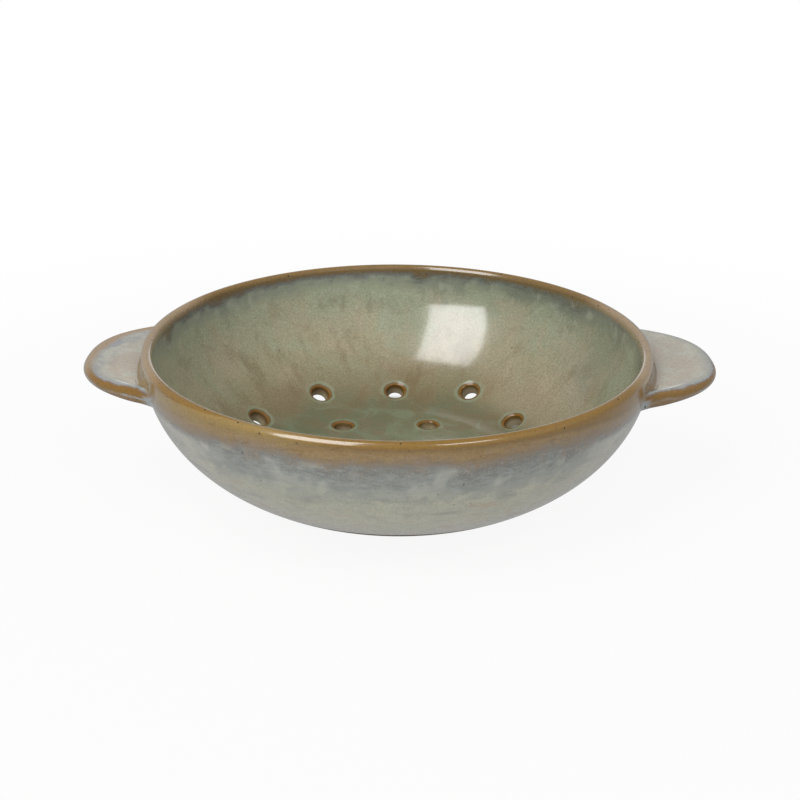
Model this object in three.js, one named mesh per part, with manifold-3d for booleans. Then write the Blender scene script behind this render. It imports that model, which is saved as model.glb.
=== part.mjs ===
// Pierced stoneware fruit bowl: a wide shallow bowl with drain holes, a foot ring and two lug handles.
// Millimetres, +Z up. The origin is on the table under the middle of the bowl; the handles lie along X.
import * as THREE from 'three';
import Module from 'manifold-3d';
import { mergeVertices } from 'three/addons/utils/BufferGeometryUtils.js';

const wasm = await Module();
wasm.setup();

// Bowl body
const rimRadius = 125; // outside of the wall at the lip
const bowlHeight = 79.8; // table to the top of the lip
const baseRadius = 56; // flat underside, before the wall turns up
const floorThickness = 7.2;
const rimThickness = 5.2;
const baseFullness = 0.206; // how long the wall stays low as it leaves the base, 0 to 1
const rimFullness = 0.715; // how long the wall stays upright below the lip, 0 to 1

// Foot ring
const footHeight = 5;
const footRadius = 39;
const footWidth = 8;
const footBevel = 1;

// Drain holes, pierced by eye: each ring has one distance from the axis, measured on the inside,
// and each hole its angle in degrees and how far it strayed from the ring
const boreDiameter = 10.2;
const boreBevel = 1.3; // worn edge where the bore meets either face
const outerRingRadius = 79;
const outerHoles = [
  [31.5, -5], [60, 3], [91, -2], [122.5, 2], [156, 2.5], [193, 0],
  [230, 1], [264, 0], [295, 1], [327, -1], [0, 0],
];
const innerRingRadius = 49;
const innerHoles = [[8, 0], [68, -3], [126, 1.5], [186, 0], [247, 0], [307, 0]];

// Lug handles
const rightHandleReach = 32.4; // from the wall to the tip; the two were shaped by hand
const leftHandleReach = 29.8;
const handleDrop = 10; // from the top of the lip down to the top of the handle
const handleHalfAngle = 23.5; // degrees of wall that the handle takes up on each side of its middle
const handleTipThickness = 5.6;
const handleRootThickness = 9;
const handleShoulder = 2.8; // how squarely the outline turns at its shoulders
const handleFlare = 1.6; // how softly the outline runs out along the wall
const handleEndReach = 3; // where the outline is this close to the wall, the handle stops

// Luted joints: the clay coils that fill the corners, and the fine gap between pieces
const seamLeg = 3.6;
const seamEdge = 0.6;
const jointGap = 0.3;

// Facets
const turnSegments = 72;
const wallSegments = 12;
const lipSegments = 6;
const boreSegments = 16;
const handleSegments = 24;
const noseSegments = 6;
const filletSegments = 4;

// Turns a closed geometry into a solid that can be cut, without the slivers at the axis of a revolve
function solidOf(geometry) {
  const bare = geometry.clone();
  bare.deleteAttribute('normal');
  bare.deleteAttribute('uv');
  const merged = mergeVertices(bare, 1e-4);
  const corners = merged.index.array;
  const faces = [];
  for (let i = 0; i < corners.length; i += 3) {
    const [a, b, c] = corners.slice(i, i + 3);
    if (a !== b && b !== c && c !== a) faces.push(a, b, c);
  }
  const vertProperties = new Float32Array(merged.attributes.position.array);
  return new wasm.Manifold(new wasm.Mesh({ numProp: 3, vertProperties, triVerts: new Uint32Array(faces) }));
}

function geometryOf(solid) {
  const mesh = solid.getMesh();
  const geometry = new THREE.BufferGeometry();
  geometry.setAttribute('position', new THREE.BufferAttribute(mesh.vertProperties, 3));
  geometry.setIndex(new THREE.BufferAttribute(mesh.triVerts, 1));
  geometry.computeVertexNormals();
  return geometry;
}

// Revolves a profile of radius and height about Z
function turned(profile, segments = turnSegments) {
  return new THREE.LatheGeometry(profile, segments).rotateX(Math.PI / 2);
}

// Joins a row of alike closed outlines into one body, closed at its two ends
function lofted(outlines, endOutline) {
  const count = outlines[0].length;
  const points = outlines.flat();
  const faces = [];
  for (let row = 0; row + 1 < outlines.length; row += 1) {
    for (let i = 0; i < count; i += 1) {
      const a = row * count + i;
      const b = row * count + (i + 1) % count;
      faces.push(a, b, a + count, b, b + count, a + count);
    }
  }
  const last = (outlines.length - 1) * count;
  for (const [a, b, c] of THREE.ShapeUtils.triangulateShape(endOutline, [])) {
    faces.push(a, c, b, last + a, last + b, last + c);
  }
  return new THREE.BufferGeometry().setFromPoints(points).setIndex(faces);
}

// Sweeps a flat outline of radius and height about Z, from one angle to another
function sweptAboutAxis(outlineAt, halfAngle, segments) {
  const outlines = [];
  for (let i = 0; i <= segments; i += 1) {
    const angle = halfAngle * (1 - 2 * i / segments);
    outlines.push(outlineAt(angle).map((p) => (
      new THREE.Vector3(p.x * Math.cos(angle), p.x * Math.sin(angle), p.y))));
  }
  return lofted(outlines, outlineAt(halfAngle));
}

// Outside of the wall, from the edge of the base to the lip
const wallTop = bowlHeight - rimThickness / 2;
const wallRise = wallTop - footHeight;
const wallCurve = new THREE.CubicBezierCurve(
  new THREE.Vector2(baseRadius, footHeight),
  new THREE.Vector2(baseRadius + baseFullness * (rimRadius - baseRadius), footHeight),
  new THREE.Vector2(rimRadius, wallTop - rimFullness * wallRise),
  new THREE.Vector2(rimRadius, wallTop),
);

// The point of the inside that lies square to the outside at the same share of the wall
function insideWallPoint(share) {
  const along = wallCurve.getTangent(share);
  const inward = new THREE.Vector2(-along.y, along.x);
  const thickness = THREE.MathUtils.lerp(floorThickness, rimThickness, share);
  return wallCurve.getPoint(share).addScaledVector(inward, thickness);
}

// The share of the wall at which a rising measure reaches a value
function shareWhere(measure, value) {
  let low = 0;
  let high = 1;
  for (let i = 0; i < 40; i += 1) {
    const middle = (low + high) / 2;
    if (measure(middle) < value) low = middle;
    else high = middle;
  }
  return (low + high) / 2;
}

function outsideRadiusAt(height) {
  return wallCurve.getPoint(shareWhere((share) => wallCurve.getPoint(share).y, height)).x;
}

// One drain hole, bored square to the wall or the floor and eased at both mouths
function drainHole(angleInDegrees, distance) {
  const share = shareWhere((s) => insideWallPoint(s).x, distance);
  const onFloor = distance < insideWallPoint(0).x;
  const inside = onFloor ? new THREE.Vector2(distance, footHeight + floorThickness) : insideWallPoint(share);
  const along = onFloor ? new THREE.Vector2(1, 0) : wallCurve.getTangent(share);
  const thickness = onFloor ? floorThickness : THREE.MathUtils.lerp(floorThickness, rimThickness, share);
  const boreRadius = boreDiameter / 2;
  const overrun = floorThickness;
  const cutter = turned([
    new THREE.Vector2(0, -thickness - overrun),
    new THREE.Vector2(boreRadius + boreBevel + overrun, -thickness - overrun),
    new THREE.Vector2(boreRadius, -thickness + boreBevel),
    new THREE.Vector2(boreRadius, -boreBevel),
    new THREE.Vector2(boreRadius + boreBevel + overrun, overrun),
    new THREE.Vector2(0, overrun),
  ], boreSegments);
  cutter.rotateY(-Math.atan2(along.y, along.x));
  cutter.translate(inside.x, 0, inside.y);
  cutter.rotateZ(THREE.MathUtils.degToRad(angleInDegrees));
  return solidOf(cutter);
}

function bowlBody() {
  const profile = [new THREE.Vector2(0, footHeight)];
  profile.push(...wallCurve.getPoints(wallSegments));
  const lipRadius = rimThickness / 2;
  for (let i = 1; i < lipSegments; i += 1) {
    const turn = Math.PI * i / lipSegments;
    profile.push(new THREE.Vector2(
      rimRadius - lipRadius + lipRadius * Math.cos(turn), wallTop + lipRadius * Math.sin(turn)));
  }
  for (let i = wallSegments; i >= 0; i -= 1) profile.push(insideWallPoint(i / wallSegments));
  profile.push(new THREE.Vector2(0, footHeight + floorThickness));
  let body = solidOf(turned(profile));
  for (const [angle, stray] of outerHoles) body = body.subtract(drainHole(angle, outerRingRadius + stray));
  for (const [angle, stray] of innerHoles) body = body.subtract(drainHole(angle, innerRingRadius + stray));
  return geometryOf(body);
}

function footRing() {
  const inner = footRadius - footWidth;
  const top = footHeight - jointGap;
  return geometryOf(solidOf(turned([
    new THREE.Vector2(inner, top),
    new THREE.Vector2(inner, footBevel),
    new THREE.Vector2(inner + footBevel, 0),
    new THREE.Vector2(footRadius - footBevel, 0),
    new THREE.Vector2(footRadius, footBevel),
    new THREE.Vector2(footRadius, top),
    new THREE.Vector2(inner, top),
  ])));
}

// Handle: its top is level, its underside rises to the tip, and its outline runs out along the wall
const handleTop = bowlHeight - handleDrop;
const rootRadius = outsideRadiusAt(handleTop) + jointGap;
const handleSpread = THREE.MathUtils.degToRad(handleHalfAngle);

function reachAt(angle, tipReach) {
  return tipReach * (1 - Math.abs(angle / handleSpread) ** handleShoulder) ** handleFlare;
}

// The angle at which the outline has come in to a given reach
function angleOfReach(reach, tipReach) {
  const share = (1 - (reach / tipReach) ** (1 / handleFlare)) ** (1 / handleShoulder);
  return handleSpread * share;
}

function undersideAt(radius, tipReach) {
  const rise = (handleRootThickness - handleTipThickness) / tipReach;
  return handleTop - handleRootThickness + rise * (radius - rootRadius);
}

// The height at which the underside meets the wall
function undersideRoot(tipReach) {
  let height = handleTop - handleRootThickness;
  for (let i = 0; i < 20; i += 1) height = undersideAt(outsideRadiusAt(height) + jointGap, tipReach);
  return height;
}

// Points on the wall's outside, one joint gap clear of it, between two heights
function besideWall(from, to) {
  const points = [];
  for (let i = 0; i <= filletSegments; i += 1) {
    const height = THREE.MathUtils.lerp(from, to, i / filletSegments);
    points.push(new THREE.Vector2(outsideRadiusAt(height) + jointGap, height));
  }
  return points;
}

function handleOutline(angle, tipReach) {
  const reach = reachAt(angle, tipReach);
  const edge = rootRadius + reach;
  const noseDepth = Math.min(handleTipThickness / 2, reach / 2);
  const noseRadius = edge - noseDepth;
  const halfThickness = (handleTop - undersideAt(noseRadius, tipReach)) / 2;
  const outline = besideWall(handleTop, undersideRoot(tipReach));
  for (let i = 0; i <= noseSegments; i += 1) {
    const turn = Math.PI * (i / noseSegments - 0.5);
    outline.push(new THREE.Vector2(
      noseRadius + noseDepth * Math.cos(turn), handleTop - halfThickness + halfThickness * Math.sin(turn)));
  }
  return outline;
}

function handle(tipReach) {
  const halfAngle = angleOfReach(handleEndReach, tipReach);
  const outlineAt = (angle) => handleOutline(angle, tipReach);
  return geometryOf(solidOf(sweptAboutAxis(outlineAt, halfAngle, handleSegments)));
}

// A coil in a corner: along the wall, along the handle, and hollow between the two
function seamOutline(wallPoints, corner, handleEnd, outOfHandle) {
  const wallEnd = wallPoints[0];
  const hollow = new THREE.QuadraticBezierCurve(
    new THREE.Vector2(handleEnd.x, handleEnd.y + outOfHandle * seamEdge),
    new THREE.Vector2(corner.x + seamEdge, corner.y + outOfHandle * seamEdge),
    new THREE.Vector2(wallEnd.x + seamEdge, wallEnd.y),
  );
  return [...wallPoints, handleEnd, ...hollow.getPoints(filletSegments)];
}

function upperSeamOutline() {
  const bottom = handleTop + jointGap;
  const wallPoints = besideWall(bottom + seamLeg, bottom);
  const corner = wallPoints.at(-1);
  return seamOutline(wallPoints, corner, new THREE.Vector2(corner.x + seamLeg, bottom), 1);
}

function lowerSeamOutline(tipReach) {
  const top = undersideRoot(tipReach) - jointGap;
  const wallPoints = besideWall(top - seamLeg, top);
  const corner = wallPoints.at(-1);
  const endRadius = corner.x + seamLeg;
  const endHeight = undersideAt(endRadius, tipReach) - jointGap;
  return seamOutline(wallPoints, corner, new THREE.Vector2(endRadius, endHeight), -1);
}

function seam(outline, tipReach) {
  const halfAngle = angleOfReach(seamLeg + handleEndReach, tipReach);
  return geometryOf(solidOf(sweptAboutAxis(() => outline, halfAngle, handleSegments)));
}

const glazedWall = { color: 0x9c9a8b, roughness: 0.3, metalness: 0 };
const glazedHandle = { color: 0xb0b3aa, roughness: 0.32, metalness: 0 };
const brownSeam = { color: 0x7d5a34, roughness: 0.28, metalness: 0 };
const bareClay = { color: 0xbfa583, roughness: 0.85, metalness: 0 };

function named(name, geometry, finish) {
  const mesh = new THREE.Mesh(geometry, new THREE.MeshStandardMaterial(finish));
  mesh.name = name;
  return mesh;
}

const fruitBowl = new THREE.Group();
fruitBowl.add(named('bowl_body', bowlBody(), glazedWall));
fruitBowl.add(named('foot_ring', footRing(), bareClay));
for (const [side, turn, tipReach] of [['right', 0, rightHandleReach], ['left', Math.PI, leftHandleReach]]) {
  const handleGroup = new THREE.Group();
  handleGroup.rotation.z = turn;
  handleGroup.add(named(`${side}_handle`, handle(tipReach), glazedHandle));
  handleGroup.add(named(`${side}_upper_seam`, seam(upperSeamOutline(), tipReach), brownSeam));
  handleGroup.add(named(`${side}_lower_seam`, seam(lowerSeamOutline(tipReach).reverse(), tipReach), brownSeam));
  fruitBowl.add(handleGroup);
}

export default fruitBowl;
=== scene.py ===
# %% [markdown]
# A wheel-thrown stoneware bowl, pierced so that washed fruit can drain, with a flat lug handle on each side.
# The potter throws the bowl, turns a foot ring under it, bores the drain holes, and presses on two lugs with
# a coil of soft clay above and below each. One running glaze covers all but the foot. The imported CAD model
# is the fixed frame: every piece below stands where its CAD node stands, and only looks finer.

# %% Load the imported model
import math

import bpy
from mathutils import Matrix, Vector


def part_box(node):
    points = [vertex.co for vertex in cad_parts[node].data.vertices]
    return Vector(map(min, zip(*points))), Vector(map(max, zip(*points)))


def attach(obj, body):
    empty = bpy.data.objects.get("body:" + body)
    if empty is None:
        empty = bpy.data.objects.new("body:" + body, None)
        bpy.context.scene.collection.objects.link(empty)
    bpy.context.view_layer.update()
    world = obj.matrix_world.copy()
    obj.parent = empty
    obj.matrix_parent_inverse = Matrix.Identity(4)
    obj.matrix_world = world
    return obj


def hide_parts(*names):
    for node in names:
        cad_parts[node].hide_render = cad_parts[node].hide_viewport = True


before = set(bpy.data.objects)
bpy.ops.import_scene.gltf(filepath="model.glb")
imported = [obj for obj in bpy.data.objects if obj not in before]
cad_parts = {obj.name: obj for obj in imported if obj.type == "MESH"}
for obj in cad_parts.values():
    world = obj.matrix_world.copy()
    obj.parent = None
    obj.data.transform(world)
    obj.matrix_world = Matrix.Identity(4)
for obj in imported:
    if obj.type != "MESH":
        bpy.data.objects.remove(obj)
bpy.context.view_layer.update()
print("CAD nodes:", ", ".join(sorted(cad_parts)))

# %% [markdown]
# Sizes. What the frame can tell is read from it, so the looks follow the CAD if it changes. The rest repeats
# the few driving sizes of the bowl's section, in metres. The wall is one cubic curve: it leaves the foot
# level and meets the lip upright, and two fullness values say how long it keeps each direction.

# %% Sizes of the bowl
bowl_low, bowl_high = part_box("bowl_body")
foot_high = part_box("foot_ring")[1]
RIM_RADIUS = bowl_high.y
BOWL_HEIGHT = bowl_high.z
FOOT_HEIGHT = bowl_low.z
FOOT_RADIUS = foot_high.x
BASE_RADIUS = 0.056
FLOOR_THICKNESS = 0.0072
LIP_THICKNESS = 0.0052
BASE_FULLNESS = 0.206
RIM_FULLNESS = 0.715
LIP_RADIUS = LIP_THICKNESS / 2
WALL_TOP = BOWL_HEIGHT - LIP_RADIUS
FLOOR_TOP = FOOT_HEIGHT + FLOOR_THICKNESS
print("rim %.1f mm across, %.1f mm high" % (RIM_RADIUS * 2000, BOWL_HEIGHT * 1000))


# %% The wall's curve
HALVINGS = 40


def wall_controls():
    """The four control points (radius, height) of the outside of the wall."""
    base_reach = (RIM_RADIUS - BASE_RADIUS) * BASE_FULLNESS
    rim_reach = (WALL_TOP - FOOT_HEIGHT) * RIM_FULLNESS
    return (
        Vector((BASE_RADIUS, FOOT_HEIGHT)),
        Vector((BASE_RADIUS + base_reach, FOOT_HEIGHT)),
        Vector((RIM_RADIUS, WALL_TOP - rim_reach)),
        Vector((RIM_RADIUS, WALL_TOP)),
    )


def wall_outside(share):
    """Point on the outside of the wall; share runs from 0 at the base to 1 under the lip."""
    a, b, c, d = wall_controls()
    rest = 1 - share
    return a * rest ** 3 + b * 3 * rest * rest * share + c * 3 * rest * share * share + d * share ** 3


def wall_direction(share):
    """Unit direction of the wall, going up."""
    a, b, c, d = wall_controls()
    rest = 1 - share
    return ((b - a) * rest * rest + (c - b) * 2 * rest * share + (d - c) * share * share).normalized()


def wall_inside(share):
    """Point on the inside of the wall, set off square to the outside by a tapering thickness."""
    along = wall_direction(share)
    thickness = FLOOR_THICKNESS + (LIP_THICKNESS - FLOOR_THICKNESS) * share
    return wall_outside(share) + Vector((-along.y, along.x)) * thickness


def share_at(curve, axis, value):
    """The share at which a rising curve reaches a radius (axis 0) or a height (axis 1)."""
    low, high = 0.0, 1.0
    for _ in range(HALVINGS):
        middle = (low + high) / 2
        if curve(middle)[axis] < value:
            low = middle
        else:
            high = middle
    return low


print("inside of the wall half way up: radius %.4f, height %.4f" % tuple(wall_inside(0.5)))

# %% [markdown]
# Node trees, both for shapes and for finishes, are long to write call by call. This small helper adds a
# node, sets it and joins it in one line. Sizes of noise are given in metres, as a potter would measure them.

# %% A helper for node trees
NOISE_MIDDLE = 0.5


class Wiring:
    """Adds nodes to a tree. Wherever a value is asked for, a number, a colour or a socket will do."""

    def __init__(self, tree):
        self.tree = tree

    def feed(self, socket, value):
        if isinstance(value, bpy.types.NodeSocket):
            self.tree.links.new(value, socket)
        else:
            socket.default_value = value

    def add(self, kind, feeds=None, **settings):
        node = self.tree.nodes.new(kind)
        for name, value in settings.items():
            setattr(node, name, value)
        for name, value in (feeds or {}).items():
            self.feed(node.inputs[name], value)
        return node

    def math(self, operation, first, second=0.0, clamp=False):
        node = self.add("ShaderNodeMath", {0: first, 1: second}, operation=operation, use_clamp=clamp)
        return node.outputs["Value"]

    def product(self, first, *others):
        """All the values multiplied together."""
        for other in others:
            first = self.math("MULTIPLY", first, other)
        return first

    def sway(self, noise, depth):
        """Noise as a shift to either side of nothing."""
        return self.math("MULTIPLY", self.math("SUBTRACT", noise, NOISE_MIDDLE), depth)

    def vector(self, operation, first, second=(0.0, 0.0, 0.0)):
        node = self.add("ShaderNodeVectorMath", {0: first, 1: second}, operation=operation)
        return node.outputs["Value" if operation in ("LENGTH", "DOT_PRODUCT") else "Vector"]

    def scaled(self, vector, factor):
        node = self.add("ShaderNodeVectorMath", {0: vector, "Scale": factor}, operation="SCALE")
        return node.outputs["Vector"]

    def split(self, vector):
        return self.add("ShaderNodeSeparateXYZ", {0: vector}).outputs

    def join(self, x, y, z):
        return self.add("ShaderNodeCombineXYZ", {0: x, 1: y, 2: z}).outputs[0]

    def rise(self, value, start, end):
        """0 up to start, 1 from end on, and a soft step between; with start over end it falls instead."""
        node = self.add("ShaderNodeMapRange", {0: value, 1: start, 2: end}, interpolation_type="SMOOTHSTEP")
        return node.outputs[0]

    def noise(self, place, size, detail=2.0, roughness=0.5, warp=0.0):
        feeds = {"Vector": place, "Scale": 1 / size, "Detail": detail}
        feeds.update({"Roughness": roughness, "Distortion": warp})
        return self.add("ShaderNodeTexNoise", feeds).outputs[0]

    def lerp(self, share, first, second):
        node = self.add("ShaderNodeMix", {0: share, 2: first, 3: second}, data_type="FLOAT")
        return node.outputs[0]

    def tint(self, share, under, over, mode="MIX"):
        node = self.add("ShaderNodeMix", data_type="RGBA", blend_type=mode, clamp_factor=True)
        for index, value in ((0, share), (6, under), (7, over)):
            self.feed(node.inputs[index], value)
        return node.outputs[2]


print("helper", Wiring.__name__)


# %% A helper for node groups
def new_group(name, kind, inputs, outputs):
    """A node group with its sockets; inputs and outputs are (name, socket type, default) rows."""
    tree = bpy.data.node_groups.new(name, kind)
    for way, rows in (("INPUT", inputs), ("OUTPUT", outputs)):
        for label, socket_type, default in rows:
            socket = tree.interface.new_socket(label, in_out=way, socket_type=socket_type)
            if default is not None:
                socket.default_value = default
    wiring = Wiring(tree)
    return wiring, wiring.add("NodeGroupInput").outputs, wiring.add("NodeGroupOutput").inputs


FLOAT = "NodeSocketFloat"
WHOLE = "NodeSocketInt"
COLOUR = "NodeSocketColor"
GEOMETRY = "NodeSocketGeometry"
print("helper", new_group.__name__)

# %% [markdown]
# The glaze is one recipe that looks different by its thickness. Where it is thin, on the lip, the rims of
# the holes and the edges of the lugs, the clay's iron burns it ochre brown. Where it runs and pools it turns
# blue-grey, then pale sage. A texture could be painted by hand, but a rule fits every piece: colour follows
# the distance from an edge, and noise makes it run unevenly. Each effect that several surfaces share is a
# node group: the run, the specks, the thin edge and the relief. In the run, one noise is drawn out
# downwards, two lie across and the others are blotches of several sizes, and four fields say where round
# the bowl a point is.

# %% Effect: how the glaze ran
ROUND_THE_BOWL = 0.12
RUN_STRETCH = 0.45
STREAK_SQUEEZE = 4.0
SMEAR_SQUEEZE = 2.2
RUN_SIZE = 0.013
STREAK_SIZE = 0.007
SMEAR_SIZE = 0.017
CLOUD_SIZE = 0.034
PATCH_SIZE = 0.011
BLOT_SIZE = 0.009
SWIRL_SIZE = 0.022
GRAIN_SIZE = 0.0010
BESIDE_START = 0.15
BESIDE_FULL = 0.82
BY_LUG_START = 0.68
BY_LUG_FULL = 0.90
NOISE_FIELDS = ("Run", "Streak", "Smear", "Cloud", "Patch", "Blot", "Swirl", "Grain")
PLACE_FIELDS = ("Right", "Back", "Beside", "By lug")

nodes, given, result = new_group(
    "glaze_run", "ShaderNodeTree",
    [("Fall", FLOAT, 0.0)],
    [(name, FLOAT, None) for name in NOISE_FIELDS + PLACE_FIELDS],
)
place = nodes.add("ShaderNodeTexCoord").outputs["Object"]
x, y = nodes.split(place)[:2]
heading = nodes.vector("NORMALIZE", nodes.join(x, y, 0.0))
heading_x, heading_y = nodes.split(heading)[:2]
around_x, around_y = nodes.split(nodes.scaled(heading, ROUND_THE_BOWL))[:2]
run_place = nodes.join(around_x, around_y, nodes.math("MULTIPLY", given["Fall"], RUN_STRETCH))
streak_place = nodes.join(around_x, around_y, nodes.math("MULTIPLY", given["Fall"], STREAK_SQUEEZE))
smear_place = nodes.join(around_x, around_y, nodes.math("MULTIPLY", given["Fall"], SMEAR_SQUEEZE))
nodes.feed(result["Run"], nodes.noise(run_place, RUN_SIZE, detail=3.0, roughness=0.55))
nodes.feed(result["Streak"], nodes.noise(streak_place, STREAK_SIZE, detail=5.0, roughness=0.75))
nodes.feed(result["Smear"], nodes.noise(smear_place, SMEAR_SIZE, detail=2.0, warp=0.4))
nodes.feed(result["Cloud"], nodes.noise(place, CLOUD_SIZE, detail=4.0, roughness=0.6, warp=0.5))
nodes.feed(result["Patch"], nodes.noise(place, PATCH_SIZE, detail=3.0, roughness=0.6, warp=0.3))
nodes.feed(result["Blot"], nodes.noise(place, BLOT_SIZE, detail=1.5, roughness=0.45, warp=0.2))
nodes.feed(result["Swirl"], nodes.noise(place, SWIRL_SIZE, detail=3.0, roughness=0.5, warp=1.6))
nodes.feed(result["Grain"], nodes.noise(place, GRAIN_SIZE, detail=2.0, roughness=0.6))
nodes.feed(result["Right"], heading_x)
nodes.feed(result["Back"], heading_y)
toward_lugs = nodes.math("MULTIPLY", heading_x, heading_x)
nodes.feed(result["Beside"], nodes.rise(toward_lugs, BESIDE_START, BESIDE_FULL))
nodes.feed(result["By lug"], nodes.rise(toward_lugs, BY_LUG_START, BY_LUG_FULL))
glaze_run = nodes.tree
print("effect", glaze_run.name)

# %% Effect: iron specks
SPECK_LEAST = 0.5
SPECK_CORE = 0.55
nodes, given, result = new_group(
    "iron_specks", "ShaderNodeTree",
    [("Spacing", FLOAT, 0.004), ("Share", FLOAT, 0.5), ("Size", FLOAT, 0.1)],
    [("Mask", FLOAT, None)],
)
place = nodes.add("ShaderNodeTexCoord").outputs["Object"]
cells_per_metre = nodes.math("DIVIDE", 1.0, given["Spacing"])
cells = nodes.add("ShaderNodeTexVoronoi", {"Vector": place, "Scale": cells_per_metre})
luck, luck_green = nodes.split(cells.outputs["Color"])[:2]
picked = nodes.math("LESS_THAN", luck, given["Share"])
reach = nodes.math("MULTIPLY", given["Size"], nodes.math("ADD", luck_green, SPECK_LEAST))
dot = nodes.rise(cells.outputs["Distance"], reach, nodes.math("MULTIPLY", reach, SPECK_CORE))
nodes.feed(result["Mask"], nodes.math("MULTIPLY", picked, dot))
iron_specks = nodes.tree
print("effect", iron_specks.name)

# %% Effect: the thin edge
nodes, given, result = new_group(
    "thin_edge", "ShaderNodeTree",
    [(name, FLOAT, 0.001) for name in ("Distance", "Limit", "Soft", "Ragged", "Size")],
    [("Mask", FLOAT, None)],
)
place = nodes.add("ShaderNodeTexCoord").outputs["Object"]
waves_per_metre = nodes.math("DIVIDE", 1.0, given["Size"])
waver = nodes.add("ShaderNodeTexNoise", {"Vector": place, "Scale": waves_per_metre})
wavering = nodes.math("ADD", given["Distance"], nodes.sway(waver.outputs[0], given["Ragged"]))
full = nodes.math("SUBTRACT", given["Limit"], given["Soft"])
gone = nodes.math("ADD", given["Limit"], given["Soft"])
nodes.feed(result["Mask"], nodes.rise(wavering, gone, full))
thin_edge = nodes.tree
print("effect", thin_edge.name)

# %% Effect: relief and gloss
PEEL_SIZE = 0.009
PIT_SIZE = 0.0016
PIT_ENDS = (0.30, 0.22)
PIT_DEPTH = 0.6
GLOSS_SIZE = 0.02
nodes, given, result = new_group(
    "glaze_relief", "ShaderNodeTree",
    [("Gloss", FLOAT, 0.12), ("Spread", FLOAT, 0.12)],
    [("Height", FLOAT, None), ("Roughness", FLOAT, None)],
)
place = nodes.add("ShaderNodeTexCoord").outputs["Object"]
peel = nodes.noise(place, PEEL_SIZE, detail=2.0)
pits = nodes.rise(nodes.noise(place, PIT_SIZE, detail=1.0), *PIT_ENDS)
nodes.feed(result["Height"], nodes.math("SUBTRACT", peel, nodes.math("MULTIPLY", pits, PIT_DEPTH)))
patchy = nodes.noise(place, GLOSS_SIZE, detail=5.0, roughness=0.65)
uneven = nodes.math("MULTIPLY", patchy, given["Spread"])
nodes.feed(result["Roughness"], nodes.math("ADD", given["Gloss"], uneven))
glaze_relief = nodes.tree
print("effect", glaze_relief.name)

# %% [markdown]
# Colours are written as they look on the fired pot. A glossy surface adds a thin veil of reflected light on
# top of its own colour, so that veil is taken off before the colour goes into the shader. The outside
# mirrors less of the studio than the inside, so its veil is thinner. A run is a list of distances, each with
# its colour.

# %% Colours of the glaze
VEIL = 0.035
OUTSIDE_VEIL = 0.020
DARKEST = 0.004
TOE_END = 0.04045
TOE_SLOPE = 12.92
CURVE_SHIFT = 0.055
CURVE_POWER = 2.4


def linear_light(part):
    """One part of an sRGB colour, 0 to 255, as linear light: the standard curve with its straight toe."""
    value = part / 255
    if value <= TOE_END:
        return value / TOE_SLOPE
    return ((value + CURVE_SHIFT) / (1 + CURVE_SHIFT)) ** CURVE_POWER


def seen(red, green, blue, veil=VEIL):
    """The base colour of a glossy surface that is seen as this sRGB colour."""
    return (*[max(linear_light(part) - veil, DARKEST) for part in (red, green, blue)], 1.0)


print("what is seen as white has a base of", [round(part, 3) for part in seen(255, 255, 255)])

# %% Colours down the wall
OUTSIDE_RUN = (
    (0.0000, (131, 101, 49)),
    (0.0036, (131, 102, 53)),
    (0.0046, (122, 99, 66)),
    (0.0066, (142, 119, 82)),
    (0.0090, (137, 117, 90)),
    (0.0115, (130, 119, 102)),
    (0.0140, (126, 125, 117)),
    (0.0190, (138, 140, 134)),
    (0.0240, (150, 153, 144)),
    (0.0340, (171, 171, 156)),
    (0.0500, (191, 189, 172)),
    (0.1600, (194, 191, 174)),
)
INSIDE_RUN = (
    (0.0000, (136, 108, 66)),
    (0.0040, (118, 100, 72)),
    (0.0056, (112, 102, 86)),
    (0.0070, (112, 113, 106)),
    (0.0100, (138, 143, 126)),
    (0.0160, (150, 153, 131)),
    (0.0280, (153, 152, 129)),
    (0.0450, (152, 147, 122)),
    (0.0600, (140, 133, 108)),
    (0.0750, (130, 123, 99)),
    (0.0900, (115, 109, 87)),
    (0.1600, (136, 125, 104)),
)
print(len(OUTSIDE_RUN), "steps of colour outside,", len(INSIDE_RUN), "inside")

# %% Colours of patches and edges
IRON_BROWN = seen(62, 44, 28)
OCHRE = seen(136, 97, 55)
# Painted shade: the dark line round each hole, just outside its ochre ring.
RIM_PAINTED_SHADE = seen(92, 78, 54)
BORE_BROWN = seen(104, 88, 62)
BORE_GREY = seen(160, 150, 126)
HALO_GREEN = seen(146, 156, 132)
POOL_GREEN = seen(106, 116, 93)
POOL_PALE = seen(128, 141, 118)
SAGE = seen(148, 156, 132)
PALE_SAGE = seen(166, 170, 152)
SHADOW_SAGE = seen(104, 110, 98)
BROWN_PATCH = seen(118, 104, 80)
TAN_PATCH = seen(160, 149, 126)
OLIVE = seen(128, 120, 94)
PALE_DRIP = seen(176, 177, 167)
CREAM_BLOT = seen(186, 184, 162)
SIDE_PALE = seen(196, 194, 182)
BLUE_GREY = seen(112, 116, 119)
BLUE_PALE = seen(160, 166, 168)
MAUVE = seen(140, 124, 107)
TAUPE = seen(168, 148, 122)
PALE_OCHRE = seen(158, 139, 96)
DARK_OCHRE = seen(112, 86, 48)
PINK_SMUDGE = seen(176, 156, 140)
GLAZE_END = seen(64, 50, 36)
print("iron brown", [round(part, 3) for part in IRON_BROWN])


# %% Helpers for materials
def new_material(name):
    """A material with an empty Principled shader, its wiring, and its output already joined."""
    material = bpy.data.materials.new(name)
    material.use_nodes = True
    material.node_tree.nodes.clear()
    nodes = Wiring(material.node_tree)
    shader = nodes.add("ShaderNodeBsdfPrincipled")
    output = nodes.add("ShaderNodeOutputMaterial")
    nodes.feed(output.inputs["Surface"], shader.outputs["BSDF"])
    return material, nodes, shader


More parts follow.
